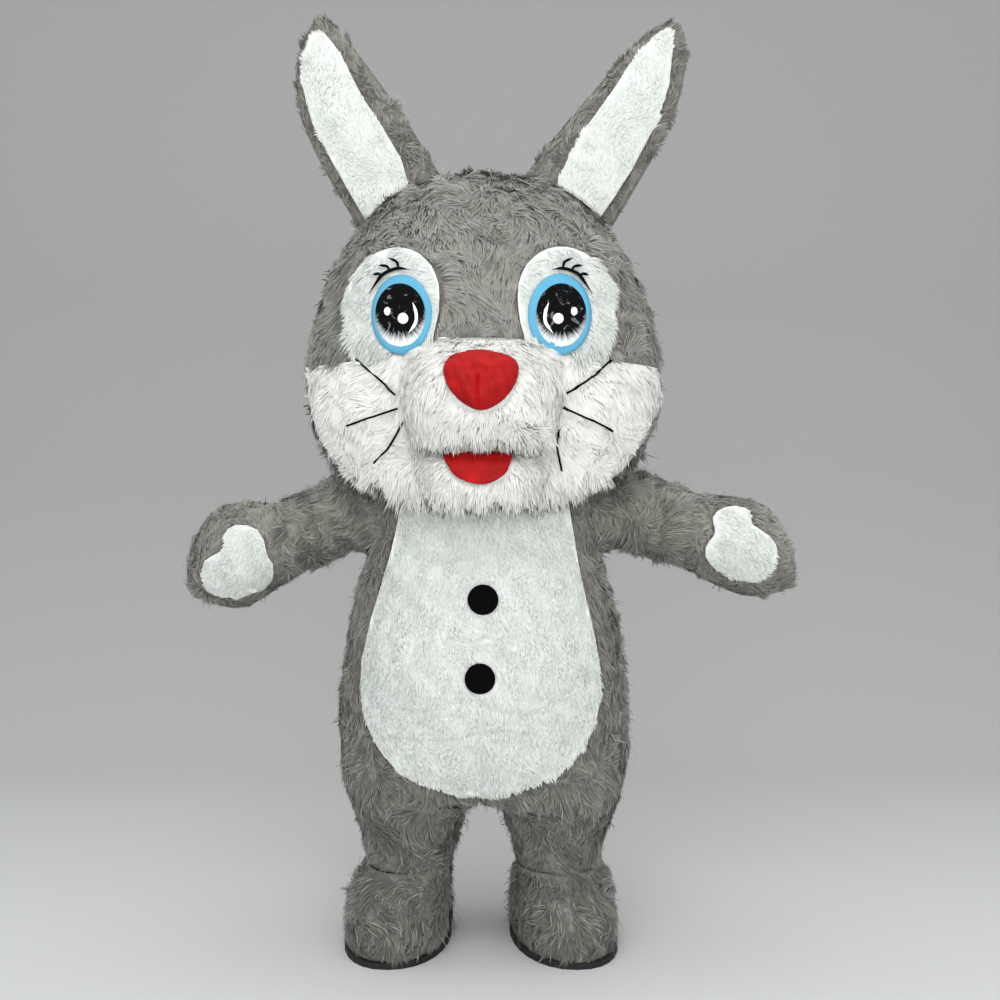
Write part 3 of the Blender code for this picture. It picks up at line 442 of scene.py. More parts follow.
def seen_inside(place, middle, tree, lift):
    """As seen_at; past the edge of the cloth the piece goes on at the depth where it left it."""
    for pull in range(60):
        found = seen_at(*(middle + (place - middle) * 0.985**pull), tree, lift)
        if found is not None:
            break
    else:
        return seen_at(*middle, tree, lift)
    if not pull:
        return found
    way = sight(*place)
    return eye + way * ((found.y - OVER_SEAM - eye.y) / way.y)


def smooth_line(spots, steps):
    """A smooth line through points of the picture."""
    points = [np.array(s, float) for s in spots]
    ends = [2 * points[0] - points[1]] + points + [2 * points[-1] - points[-2]]
    line = []
    for i in range(1, len(ends) - 2):
        p0, p1, p2, p3 = ends[i - 1 : i + 3]
        for k in range(steps):
            t = k / steps
            square, cube = 2 * p0 - 5 * p1 + 4 * p2 - p3, 3 * p1 - p0 - 3 * p2 + p3
            line.append(0.5 * (2 * p1 + (p2 - p0) * t + square * t**2 + cube * t**3))
    line.append(points[-1])
    return line


# Pile
def waves(seed, size, count=7):
    """A smooth field of directions that changes over this size, as a sum of waves."""
    draw = np.random.default_rng(seed)
    ways = draw.normal(size=(3, count, 3))
    spread = (2 * math.pi / size) / np.linalg.norm(ways, axis=2, keepdims=True)
    ways *= spread * draw.uniform(0.6, 1.3, (3, count, 1))
    starts = draw.uniform(0, 2 * math.pi, (3, count))

    def field(places):
        return np.stack(
            [np.sin(places @ ways[k].T + starts[k]).sum(1) / math.sqrt(count / 2) for k in range(3)], axis=1
        )

    return field


MIDDLE_X = -0.0195  # of the face
MOST_FIBRES = 98000  # on one piece
LOOSE = 0.04  # of the fibres stand clear of the rest
SEAM_PARTS = 0.022  # this far from a seam the pile parts
SEAM_SHORTENS = 0.014  # this far from a seam it is shorter
SLOPE_STEP = 0.003  # over which the slope of lumps and furrows is taken
FURROW_PAST = 0.1  # lifts a furrow out of the count away from its line
FLOOR_CLEAR = 0.002
broad = waves(11, 0.16)
middle = waves(12, 0.065)
small = waves(13, 0.028)


def unit(v):
    """Each row at length one."""
    return v / np.maximum(np.linalg.norm(v, axis=1, keepdims=True), 1e-9)


def flat_on(v, outs):
    """Each row laid flat on the skin that faces this way."""
    return v - (v * outs).sum(1, keepdims=True) * outs


# Furrows seen in the picture: the piece they run over, their line, depth and width
FURROWS = [
    dict(on="belly", spots=[(448, 640), (466, 643), (490, 640), (516, 647)], deep=0.006, wide=0.010),
    dict(
        on="belly",
        spots=[(378, 706), (420, 714), (470, 704), (520, 716), (568, 702)],
        deep=0.005,
        wide=0.013,
    ),
    dict(on="belly", spots=[(392, 738), (440, 744), (500, 732), (566, 744)], deep=0.005, wide=0.012),
    dict(on="belly", spots=[(478, 736), (479, 764), (478, 792)], deep=0.004, wide=0.008),
    dict(on="belly", spots=[(400, 545), (440, 556), (470, 550)], deep=0.004, wide=0.014),
    dict(on="belly", spots=[(520, 540), (552, 552), (582, 548)], deep=0.004, wide=0.014),
    dict(on="sleeve_l", spots=[(314, 488), (317, 520), (313, 560)], deep=0.010, wide=0.014),
    dict(on="sleeve_r", spots=[(655, 486), (660, 520), (652, 556)], deep=0.007, wide=0.014),
    dict(on="front_l", spots=[(380, 790), (382, 830), (378, 868)], deep=0.007, wide=0.010),
    dict(on="front_r", spots=[(580, 800), (576, 836), (578, 868)], deep=0.007, wide=0.010),
    dict(on="shoe_l", spots=[(378, 884), (381, 915), (374, 945)], deep=0.008, wide=0.009),
    dict(on="shoe_l", spots=[(416, 884), (420, 920), (417, 950)], deep=0.008, wide=0.009),
    dict(on="shoe_r", spots=[(568, 884), (570, 920), (576, 950)], deep=0.008, wide=0.009),
    dict(on="shoe_r", spots=[(530, 884), (533, 920), (531, 950)], deep=0.008, wide=0.009),
    dict(on="forehead", spots=[(476, 230), (498, 236), (524, 251)], deep=0.007, wide=0.010),
    dict(on="forehead", spots=[(410, 204), (404, 220), (398, 236)], deep=0.006, wide=0.010),
]


def furrow_points(name):
    """Points along this piece's furrows, each with its depth and width."""
    rows = []
    own = tree_of([name])
    for furrow in FURROWS:
        if furrow["on"] == name:
            for spot in smooth_line(furrow["spots"], 14):
                place = seen_at(*spot, own, 0.0)
                if place is not None:
                    rows.append((*place, furrow["deep"], furrow["wide"]))
    return np.array(rows).reshape(-1, 5)


def relief(places, lines, lumps):
    """How far the cloth stands out or in here: soft lumps, and the furrows."""
    high = lumps * (0.9 * broad(places)[:, 0] + 0.8 * middle(places)[:, 1])
    for x, y, z, deep, wide in lines:
        far = np.linalg.norm(places - np.array([x, y, z]), axis=1)
        furrow = lumps * 0.5 - deep * np.exp(-((far / wide) ** 2))
        high = np.minimum(high, furrow + FURROW_PAST * (far > 2.2 * wide))
    return high


def short_of(furthest, far):
    """One at a line, and none from this far on."""
    return np.clip(1 - far / furthest, 0, 1)


def rows_to(tree, places):
    """For each place, the way from the nearest point of the tree, and how far that is."""
    found = [tree.find(Vector(place)) for place in places]
    return places - np.array([f[0][:] for f in found]), np.array([f[2] for f in found])


def turned(lean, away, out, pull):
    """The lean of the pile, turned this much towards or away from a line."""
    return unit(flat_on(lean * (1 - pull) + unit(flat_on(away, out)) * pull, out))


def blades(foot, knee, tip, across, half):
    """Each fibre as a slim kite of two triangles: root, two corners at the knee, and tip."""
    points = np.stack([foot, knee + across * half, tip, knee - across * half], axis=1).reshape(-1, 3)
    points[:, 2] = np.maximum(points[:, 2], FLOOR_CLEAR)
    count = len(foot)
    base = np.arange(count)[:, None] * 4
    loops = (base + np.array([0, 1, 3, 1, 2, 3])).reshape(-1)
    starts = np.arange(count * 2) * 3
    return points, loops, starts


def pile(
    name,
    skin,
    paint,
    slot,
    per_cm2,
    long,
    wide,
    rise,
    nap,
    swirl,
    part,
    sink,
    locks,
    stray,
    lumps,
    dip,
    ruffle,
    seed,
    hang=None,
    fan=0.0,
    painted_light_and_tone=0.0,
    crown=0.0,
    glow=0.0,
    laid=None,
):
    """Fibres on a skin: narrow blades from a root in the backing to a tip that leans with the nap."""
    corners, outs, rim = skin
    draw = np.random.default_rng(seed)
    sides = np.cross(corners[:, 1] - corners[:, 0], corners[:, 2] - corners[:, 0])
    areas = np.linalg.norm(sides, axis=1) / 2
    cm2 = areas.sum() * 10000
    count = min(int(cm2 * per_cm2), MOST_FIBRES)
    tri = draw.choice(len(areas), count, p=areas / areas.sum())
    a, b = draw.random(count), draw.random(count)
    over = a + b > 1
    a[over], b[over] = 1 - a[over], 1 - b[over]
    share = np.stack([1 - a - b, a, b], axis=1)[:, :, None]
    roots = (corners[tri] * share).sum(1)
    out = unit((outs[tri] * share).sum(1))

    # Nothing grows under what is laid on the cloth
    if laid:
        keep = np.ones(count, bool)
        for i in range(count):
            hit = laid.ray_cast(Vector(roots[i]) + Vector(out[i]) * 0.0002, Vector(out[i]), 0.03)
            keep[i] = hit[0] is None
        roots, out, count = roots[keep], out[keep], int(keep.sum())

    # Lumps and furrows move the roots and turn the pile
    lines = furrow_points(name.removesuffix("_pile"))
    one = unit(np.cross(out, np.array([0.31, 0.52, 0.79])))
    two = np.cross(out, one)
    level = relief(roots, lines, lumps)
    slope = (relief(roots + one * SLOPE_STEP, lines, lumps) - level)[:, None] * one
    slope += (relief(roots + two * SLOPE_STEP, lines, lumps) - level)[:, None] * two
    facing = unit(out - slope / SLOPE_STEP)
    roots = roots + out * np.clip(level, -dip, 0.0015)[:, None]
    out = facing

    swirled = 0.9 * broad(roots) + 0.55 * middle(roots) + 0.16 * small(roots)
    fanned = np.array(nap, float)[None, :] + fan * (roots[:, :1] - MIDDLE_X) * [[1, 0, 0]]
    lean = unit(flat_on(fanned + swirl * swirled, out))

    # At a seam the pile parts and is shorter, or is brushed out over the seam and longer
    shorter = np.ones(count)
    if part and rim:
        away, far = rows_to(nearest(rim), roots)
        lean = turned(lean, away, out, part * short_of(SEAM_PARTS, far)[:, None])
        shorter = 1 - 0.45 * part * short_of(SEAM_SHORTENS, far)

    # Along a furrow it parts right down to the backing
    if len(lines):
        away, far = rows_to(nearest(lines[:, :3]), roots)
        close = short_of(0.45 * long, far)
        lean = turned(lean, away, out, 0.9 * close[:, None])
        shorter = shorter * (1 - 0.5 * close)

    length = long * (1 + 0.22 * middle(roots)[:, 0]) * draw.uniform(0.7, 1.2, count) * shorter
    length = np.clip(length, 0.35 * long, 1.6 * long)
    loose = draw.random(count) < LOOSE
    height = rise * draw.uniform(0.5, 1.25, count) * (1 + 0.3 * middle(roots)[:, 1])
    height = np.clip(height, 0.2 * rise, 2.0 * rise)
    height[loose] *= 2.3
    length[loose] *= 1.15
    lean = unit(flat_on(lean + draw.normal(size=(count, 3)) * stray, out))
    if hang:
        # Low on the head the pile hangs straight down past the edge of its cloth
        below, over_height, longer = hang
        share = np.clip((below - roots[:, 2]) / over_height, 0, 1)[:, None]
        down = unit(np.array([0, 0, -1.0]) + 0.35 * out * [1, 1, 0] + draw.normal(size=(count, 3)) * 0.16)
        lean = unit(lean * (1 - share) + down * share)
        length = length * (1 + (longer - 1) * share[:, 0])
    foot = roots - out * sink
    tip = foot + lean * length[:, None] + out * height[:, None]

    # Pushed short beside what is laid on the cloth
    if laid:
        for i in range(count):
            start = Vector(tip[i] - out[i] * 0.012)
            behind = laid.ray_cast(Vector(tip[i]), Vector((0, 1, 0)), 0.06)[0]
            if behind is not None or laid.ray_cast(start, Vector(out[i]), 0.04)[0] is not None:
                length[i] *= 0.3
        tip = foot + lean * length[:, None] + out * height[:, None]
    knee = foot + lean * (length * 0.4)[:, None] + out * (height * 0.72)[:, None]

    # Fibres gather into locks that share a tip
    heads = draw.choice(count, max(8, min(int(cm2 * locks), count // 6)), replace=False)
    centre = nearest(roots[heads])
    near = heads[np.array([centre.find(Vector(p))[1] for p in roots])]
    hold = draw.uniform(0.0, 0.55, count)[:, None]
    hold[loose] *= 0.2
    tip = tip * (1 - hold) + tip[near] * hold
    knee = knee * (1 - 0.3 * hold) + knee[near] * 0.3 * hold

    # Tints: patches and locks at random; painted shade darker down the costume; each piece's tone, partly
    # painted light and shade; darker on top of the head, where the forehead's painted light fades; painted
    # shade in the furrows
    shade = draw.random(count)
    tint = 0.5 + 0.13 * middle(roots)[:, 2] + 0.10 * small(roots)[:, 1] + 0.18 * (shade[near] - 0.5)
    # Painted shade darker lower down the costume, plus each piece's tone, partly painted light and shade
    tint = tint + painted_light_and_tone + 0.40 * (np.minimum(roots[:, 2], 1.2) - 0.9)
    # The forehead's painted light fades over the top of the head
    tint = tint - crown * np.clip((roots[:, 2] - 1.84) / 0.14, 0, 1)
    # Painted shade in the furrows
    tint = np.clip(tint + 0.42 * (shade - 0.5) + 60.0 * np.minimum(level, 0.0), 0, 1)
    tint[loose] = draw.uniform(0.8, 1.0, int(loose.sum()))

    across = unit(np.cross(tip - foot, out + draw.normal(size=(count, 3)) * 0.16))
    half = wide * draw.uniform(0.35, 0.65, count)[:, None]
    points, loops, starts = blades(foot, knee, tip, across, half)
    mesh = bpy.data.meshes.new(name)
    mesh.vertices.add(len(points))
    mesh.vertices.foreach_set("co", points.ravel())
    mesh.loops.add(len(loops))
    mesh.loops.foreach_set("vertex_index", loops.astype(np.int32))
    mesh.polygons.add(len(starts))
    mesh.polygons.foreach_set("loop_start", starts.astype(np.int32))
    mesh.update(calc_edges=True)
    uv = mesh.uv_layers.new(name="pile")
    table = np.empty((count, 6, 2))
    table[:, :, 0] = tint[:, None]
    table[:, :, 1] = np.array([0.0, 0.45, 0.45, 0.45, 1.0, 0.45])
    uv.data.foreach_set("uv", table.ravel())
    mesh.polygons.foreach_set("use_smooth", np.ones(len(starts), bool))
    # Light passes between white fibres, so their shading turns softer than the form under them
    soft = unit(out * 0.85 + lean * 0.15 + draw.normal(size=(count, 3)) * ruffle)
    soft = unit(soft * (1 - glow) + np.array([0, -1.0, 0.25]) * glow * (out[:, 1:2] < 0.3))
    mesh.normals_split_custom_set_from_vertices(np.repeat(soft, 4, axis=0))
    mesh.materials.append(paint)
    made = bpy.data.objects.new(name, mesh)
    bpy.context.scene.collection.objects.link(made)
    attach(made, "root")
    return made


GREY = dict(
    paint=grey_pile,
    slot="grey_plush",
    per_cm2=5.4,
    long=0.036,
    wide=0.0031,
    rise=0.0085,
    sink=0.0080,
    locks=0.20,
    stray=0.13,
    lumps=0.0022,
    dip=0.0030,
    ruffle=0.22,
)
BEHIND = dict(GREY, per_cm2=3.8, wide=0.0038)
EARS = dict(GREY, long=0.026, rise=0.0070)
FACE = dict(
    paint=white_pile,
    slot="white_plush",
    per_cm2=8.4,
    long=0.032,
    wide=0.0036,
    rise=0.0050,
    sink=0.0038,
    locks=0.25,
    stray=0.12,
    lumps=0.0012,
    dip=0.0010,
    ruffle=0.10,
    glow=0.5,
)
SHORT = dict(
    paint=short_pile,
    slot="white_plush",
    per_cm2=11.0,
    long=0.015,
    wide=0.0027,
    rise=0.0026,
    sink=0.0024,
    locks=0.5,
    stray=0.10,
    lumps=0.0009,
    dip=0.0008,
    ruffle=0.12,
)
PATCH = dict(SHORT, long=0.022, stray=0.14)

# Each fur piece: its pile, the way the nap runs, how much it swirls and how far it parts at the seams,
# and for pile that hangs: below which height, over how much, and how much longer
# A piece's tone is partly painted light and shade: set lighter on the forehead, darker on the lower pieces,
# the sleeves and the ears; crown fades the forehead's painted light over the top of the head
FURS = [
    dict(node="front_l", kind=GREY, nap=(-0.15, 0, -0.8), swirl=0.6, part=0.6, painted_light_and_tone=-0.14),
    dict(node="front_r", kind=GREY, nap=(0.15, 0, -0.8), swirl=0.6, part=0.6, painted_light_and_tone=-0.08),
    dict(node="back_l", kind=BEHIND, nap=(-0.1, 0, -0.7), swirl=0.75, part=0.6, painted_light_and_tone=-0.06),
    dict(node="back_r", kind=BEHIND, nap=(0.1, 0, -0.7), swirl=0.75, part=0.6, painted_light_and_tone=-0.06),
    dict(node="sleeve_l", kind=GREY, nap=(-0.55, 0, -0.45), swirl=0.75, part=0.7, painted_light_and_tone=-0.2),
    dict(node="sleeve_r", kind=GREY, nap=(0.55, 0, -0.45), swirl=0.75, part=0.7, painted_light_and_tone=-0.2),
    dict(node="mitten_palm_l", kind=EARS, nap=(-0.5, 0, -0.1), swirl=0.6, part=0.3),
    dict(node="mitten_palm_r", kind=EARS, nap=(0.5, 0, -0.1), swirl=0.6, part=0.3),
    dict(node="mitten_back_l", kind=EARS, nap=(-0.5, 0, -0.1), swirl=0.6, part=0.3),
    dict(node="mitten_back_r", kind=EARS, nap=(0.5, 0, -0.1), swirl=0.6, part=0.3),
    dict(node="shoe_l", kind=GREY, nap=(0, -0.5, -0.6), swirl=0.6, part=0.7, painted_light_and_tone=-0.16),
    dict(node="shoe_r", kind=GREY, nap=(0, -0.5, -0.6), swirl=0.6, part=0.7, painted_light_and_tone=-0.24),
    dict(node="forehead", kind=GREY, nap=(0.05, -0.3, -0.7), swirl=0.42, part=0.3, painted_light_and_tone=0.5, crown=0.2),
    dict(node="crown_back", kind=BEHIND, nap=(0, 0.2, -0.5), swirl=0.7, part=-0.3),
    dict(node="head_side_l", kind=GREY, nap=(-0.3, 0.1, -0.7), swirl=0.5, part=0.3, painted_light_and_tone=-0.08),
    dict(node="head_side_r", kind=GREY, nap=(0.3, 0.1, -0.7), swirl=0.5, part=0.3, painted_light_and_tone=-0.08),
    dict(node="nape_l", kind=BEHIND, nap=(0, 0, -0.7), swirl=0.7, part=0.0, hang=(1.40, 0.09, 1.5)),
    dict(node="nape_r", kind=BEHIND, nap=(0, 0, -0.7), swirl=0.7, part=0.0, hang=(1.40, 0.09, 1.5)),
    dict(node="ear_back_l", kind=EARS, nap=(-0.3, 0, 0.5), swirl=0.6, part=0.0, painted_light_and_tone=-0.3),
    dict(node="ear_back_r", kind=EARS, nap=(0.3, 0, 0.5), swirl=0.6, part=0.0, painted_light_and_tone=-0.3),
    dict(node="ear_front_l", kind=EARS, nap=(-0.3, 0, 0.5), swirl=0.6, part=0.0, painted_light_and_tone=-0.42),
    dict(node="ear_front_r", kind=EARS, nap=(0.3, 0, 0.5), swirl=0.6, part=0.0, painted_light_and_tone=-0.42),
    dict(
        node="muzzle",
        kind=FACE,
        nap=(0, -0.2, -1.0),
        swirl=0.2,
        part=-0.8,
        hang=(1.410, 0.03, 0.85),
        fan=5.0,
    ),
    dict(
        node="chin",
        kind=FACE,
        nap=(0, -0.1, -0.7),
        swirl=0.2,
        part=0.0,
        hang=(1.275, 0.04, 0.9),
        fan=4.0,
    ),
    dict(node="cheek_l", kind=FACE, nap=(-0.5, -0.1, -0.6), swirl=0.35, part=-0.6, hang=(1.33, 0.05, 1.15)),
    dict(node="cheek_r", kind=FACE, nap=(0.5, -0.1, -0.6), swirl=0.35, part=-0.6, hang=(1.33, 0.05, 1.15)),
    dict(node="belly", kind=SHORT, nap=(0, 0, -1.0), swirl=0.30, part=0.0),
    dict(
        node="eye_patch_l",
        kind=PATCH,
        nap=(-0.7, 0, -0.6),
        swirl=0.35,
        part=-0.6,
        hang=(1.67, 0.05, 1.5),
    ),
    dict(
        node="eye_patch_r",
        kind=PATCH,
        nap=(0.7, 0, -0.6),
        swirl=0.35,
        part=-0.6,
        hang=(1.67, 0.05, 1.5),
    ),
    dict(node="ear_lining_l", kind=SHORT, nap=(-0.2, 0, 0.6), swirl=0.30, part=0.0),
    dict(node="ear_lining_r", kind=SHORT, nap=(0.2, 0, 0.6), swirl=0.30, part=0.0),
    dict(node="paw_pad_l", kind=SHORT, nap=(-0.5, 0, -0.4), swirl=0.30, part=0.0),
    dict(node="paw_pad_r", kind=SHORT, nap=(0.5, 0, -0.4), swirl=0.30, part=0.0),
]
OVER = {
    "front_l": ["belly"],
    "front_r": ["belly"],
    "mitten_palm_l": ["paw_pad_l"],
    "mitten_palm_r": ["paw_pad_r"],
    "forehead": ["eye_patch_l", "eye_patch_r"],
    "head_side_l": ["eye_patch_l"],
    "head_side_r": ["eye_patch_r"],
    "ear_front_l": ["ear_lining_l"],
    "ear_front_r": ["ear_lining_r"],
    "muzzle": ["nose", "eye_l", "eye_r"],
    "chin": ["mouth"],
    "belly": ["button_top", "button_low"],
    "eye_patch_l": ["eye_l"],
    "eye_patch_r": ["eye_r"],
}
LAID_DEPTH, FACE_DEPTH, GREY_DEPTH = 0.0038, 0.0050, 0.0085  # of the backing under its pile
LAID_WALL, PANEL_WALL = 0.0012, 0.0025  # of the backing
for number, fur in enumerate(FURS):
    name, kind = fur["node"], fur["kind"]
    cloth = outside(name)
    skin = arrays(cloth)
    laid_on = name in LAID
    own = {key: value for key, value in fur.items() if key not in ("node", "kind")}
    laid = tree_of(OVER[name]) if name in OVER else None
    grown = pile(name + "_pile", skin, seed=100 + number, laid=laid, **own, **kind)
    area = shell(
        cloth,
        name,
        LAID_DEPTH if laid_on else FACE_DEPTH if kind is FACE else GREY_DEPTH,
        LAID_WALL if laid_on else PANEL_WALL,
        grey_back if kind["paint"] is grey_pile else white_back,
    )


# Thread, felt and satin
THREAD_THICK = 0.0012


def stroke(name, spots, wide, tree, lift, paint, steps=6, thin_ends=True):
    """A line of stitches along points of the picture: a ribbon with tapered ends, lying on the cloth."""
    line = smooth_line(spots, steps)
    bm = bmesh.new()
    rows = []
    for i, spot in enumerate(line):
        before, after = line[max(i - 1, 0)], line[min(i + 1, len(line) - 1)]
        way = (after - before) / max(np.linalg.norm(after - before), 1e-6)
        side = np.array([-way[1], way[0]])
        t = i / (len(line) - 1)
        half = wide / 2 * (max(0.18, min(1.0, 5 * t, 5 * (1 - t))) if thin_ends else 1.0)
        left = seen_at(*(spot - side * half), tree, lift)
        right = seen_at(*(spot + side * half), tree, lift)
        if left is not None and right is not None:
            rows.append((bm.verts.new(left), bm.verts.new(right)))
    for a, b in zip(rows, rows[1:]):
        bm.faces.new((a[0], a[1], b[1], b[0]))
    bmesh.ops.recalc_face_normals(bm, faces=bm.faces)
    if sum(f.normal.y for f in bm.faces) > 0:
        bmesh.ops.reverse_faces(bm, faces=bm.faces)
    mesh = bpy.data.meshes.new(name)
    bm.to_mesh(mesh)
    bm.free()
    made = bpy.data.objects.new(name, mesh)
    bpy.context.scene.collection.objects.link(made)
    wall = made.modifiers.new("thread", "SOLIDIFY")
    wall.thickness = THREAD_THICK
    wall.offset = 0.0
    bpy.context.view_layer.objects.active = made
    made.select_set(True)
    bpy.ops.object.modifier_apply(modifier="thread")
    bpy.ops.object.shade_smooth()
    made.select_set(False)
    mesh.materials.append(paint)
    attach(made, "root")
    return made


def cushion(name, outline, tree, height, rings, paint, steps=4):
    """A round piece from its outline in the picture: raised rings from the middle to a rim."""
    line = smooth_line(list(outline) + [outline[0]], steps)[:-1]
    middle = sum(line) / len(line)
    bm = bmesh.new()
    layer = bm.loops.layers.uv.new("round")
    top = bm.verts.new(seen_at(*middle, tree, height(0.0, 0.0, 0.0)))
    rows = []
    for r in range(1, rings + 1):
        reach = r / rings
        row = []
        for k, spot in enumerate(line):
            place = middle + (spot - middle) * reach
            up = height(reach, *((place - middle) / 10.0))
            row.append(bm.verts.new(seen_inside(place, middle, tree, up)))
        rows.append(row)
    count = len(line)
    faces = []
    for k in range(count):
        nxt = (k + 1) % count
        faces.append((bm.faces.new((top, rows[0][k], rows[0][nxt])), k, [(k + 0.5, 0), (k, 1), (k + 1, 1)]))
        for r in range(rings - 1):
            face = bm.faces.new((rows[r][k], rows[r + 1][k], rows[r + 1][nxt], rows[r][nxt]))
            faces.append((face, k, [(k, r + 1), (k, r + 2), (k + 1, r + 2), (k + 1, r + 1)]))
    for face, k, spots in faces:
        for loop, (u, v) in zip(face.loops, spots):
            loop[layer].uv = (u / count, v / rings)
    rim = rows[-1]
    low = [bm.verts.new(seen_inside(spot, middle, tree, 0.0002)) for spot in line]
    for k in range(count):
        nxt = (k + 1) % count
        face = bm.faces.new((rim[k], low[k], low[nxt], rim[nxt]))
        for loop in face.loops:
            loop[layer].uv = (k / count, 1.0)
    bmesh.ops.recalc_face_normals(bm, faces=bm.faces)
    if sum(f.normal.y * f.calc_area() for f in bm.faces) > 0:
        bmesh.ops.reverse_faces(bm, faces=bm.faces)
    mesh = bpy.data.meshes.new(name)
    bm.to_mesh(mesh)
    bm.free()
    made = bpy.data.objects.new(name, mesh)
    bpy.context.scene.collection.objects.link(made)
    bpy.context.view_layer.objects.active = made
    made.select_set(True)
    bpy.ops.object.shade_smooth()
    made.select_set(False)
    mesh.materials.append(paint)
    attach(made, "root")
    return made


def oval(x, y, rx, ry, count=16):
    """Points round an upright oval of the picture."""
    turns = [2 * math.pi * i / count for i in range(count)]
    return [(x + rx * math.sin(a), y + ry * math.cos(a)) for a in turns]


# Eyes
EYES = [
    dict(side="l", x=402.0, y=315.0, wide=30.0, high=40.0, flip=1),
    dict(side="r", x=559.5, y=315.0, wide=31.5, high=41.0, flip=-1),
]
# Half the width and height of the pupil, and its white marks from the middle of the eye
PUPIL = (25.0, 31.5)
GLINTS = [(-13.5, -3.0, 3.2, 4.2), (2.0, 4.0, 5.2, 5.4)]
GLINT_ARC = [(12.0, -11.5), (15.1, -1.5), (14.6, 8.4), (7.7, 18.7)]
ARC_WIDE, LID_WIDE, LASH_WIDE = 3.0, 3.1, 2.5
# How far each layer stands off the patch
IRIS_UP, PUPIL_UP, GLINT_UP, ARC_UP, LASH_UP = 0.0045, 0.0061, 0.0069, 0.0071, 0.0068
# The stitched line over an eye, and the lashes that start from it
LASHES = [
    [(-31.3, -20.3), (-19.8, -37.5), (-11.4, -42.9), (-2.2, -45.5), (8.1, -44.4)],
    [(-2.2, -45.5), (-4.1, -52.0), (-12.2, -55.9)],
    [(-11.4, -42.9), (-13.7, -47.5), (-22.1, -48.6)],
    [(-19.4, -37.5), (-22.1, -40.2), (-27.8, -39.0)],
]
for eye_row in EYES:
    tag, x, y, flip = eye_row["side"], eye_row["x"], eye_row["y"], eye_row["flip"]
    patch_tree = tree_of(["eye_patch_" + tag])
    iris = cushion(
        "iris_" + tag,
        oval(x, y, eye_row["wide"], eye_row["high"]),
        patch_tree,
        lambda r, u, v: IRIS_UP - 0.0012 * r**6,
        8,
        blue_felt,
    )
    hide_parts("eye_" + tag)
    pupil = cushion(
        "pupil_round_" + tag,
        oval(x - 1.0 * flip, y + 0.5, *PUPIL),
        patch_tree,
        lambda r, u, v: PUPIL_UP - 0.0010 * r**6,
        10,
        pupil_paint,
    )
    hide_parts("pupil_" + tag)
    for k, (dx, dy, rx, ry) in enumerate(GLINTS):
        cushion(
            f"glint_{tag}_{k}",
            oval(x + dx * flip, y + dy, rx, ry, count=10),
            patch_tree,
            lambda r, u, v: GLINT_UP - 0.0004 * r**4,
            3,
            white_thread,
            steps=2,
        )
    stroke(
        "glint_arc_" + tag,
        [(x + dx * flip, y + dy) for dx, dy in GLINT_ARC],
        ARC_WIDE,
        patch_tree,
        ARC_UP,
        white_thread,
    )
    for k, lash in enumerate(LASHES):
        stroke(
            f"lash_{tag}_{k}",
            [(x + dx * flip, y + dy) for dx, dy in lash],
            LID_WIDE if k == 0 else LASH_WIDE,
            patch_tree,
            LASH_UP,
            black_thread,
        )

# Nose and mouth
NOSE = [
    (446, 362),
    (452, 356),
    (465, 352.5),
    (482, 351.5),
    (499, 353.5),
    (511, 357.5),
    (518, 366),
    (517, 378),
    (510, 392),
    (500, 402),
    (487, 409),
    (475, 409),
    (462, 402),
    (451, 391),
    (445, 378),
    (443.5, 369),
]


def nose_height(r, u, v):
    """A soft cushion with a crease across its upper third and a seam down its lower half."""
    full = 0.019 * (1 - r**2.6) ** 0.6 if r < 1 else 0.0
    bowed = v + 0.55 - 0.10 * u * u / 4
    across = 0.0060 * math.exp(-((bowed / 0.17) ** 2)) * max(0.0, 1 - (u / 3.2) ** 2)
    down = 0.0058 * math.exp(-(((u + 0.1) / 0.15) ** 2)) * min(1.0, max(0.0, (v + 0.45) / 0.5))
    folds = 0.0016 * math.sin(3.1 * u + 1.3 * v) * math.sin(2.3 * v + 0.6)
    folds += 0.0011 * math.sin(6 * u - 3 * v)
    return 0.003 + full - (across + down) * (1 - r**4) + folds * (1 - r**3)


muzzle_tree = tree_of(["muzzle"])
nose = cushion("nose_satin", NOSE, muzzle_tree, nose_height, 32, red_satin, steps=9)
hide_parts("nose")

MOUTH = [
    (443, 450),
    (455, 449),
    (478, 449),
    (500, 449),
    (512, 450),
    (512, 458),
    (507, 470),
    (498, 479),
    (485, 484),
    (472, 483),
    (458, 477),
    (448, 466),
    (443, 456),
]


def mouth_height(r, u, v):
    """Satin drawn in at its rim, with one soft fold across it."""
    fold = 0.0030 * math.exp(-(((v - 0.15 - 0.05 * u) / 0.32) ** 2))
    folds = 0.0010 * math.sin(2.7 * u + 2.1 * v) + 0.0006 * math.sin(6 * u + 1.0)
    return 0.0065 + (0.003 * (1 - r**3) + fold + folds * (1 - r**2))


chin_tree = tree_of(["chin"])
mouth = cushion("mouth_satin", MOUTH, chin_tree, mouth_height, 12, red_satin, steps=5)
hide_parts("mouth")

# Whiskers
face_tree = tree_of(["cheek_l", "cheek_r", "muzzle", "chin", "head_side_l", "head_side_r", "forehead"])
WHISKER_WIDE, WHISKER_UP = 2.1, 0.0125
WHISKERS = [
    [(358, 361), (377, 378), (396, 395)],
    [(350, 425), (374, 416), (398, 408)],
    [(403, 421), (391, 442), (376, 462)],
    [(566, 393), (585, 383), (600, 370), (610, 361)],
    [(563, 407), (587, 418), (611, 430)],
    [(556, 428), (558, 449), (562, 471)],
]
for k, whisker in enumerate(WHISKERS):
    stroke(
        f"whisker_{k}",
        whisker,
        WHISKER_WIDE,
        face_tree,
        WHISKER_UP,
        black_thread,
        thin_ends=False,
    )


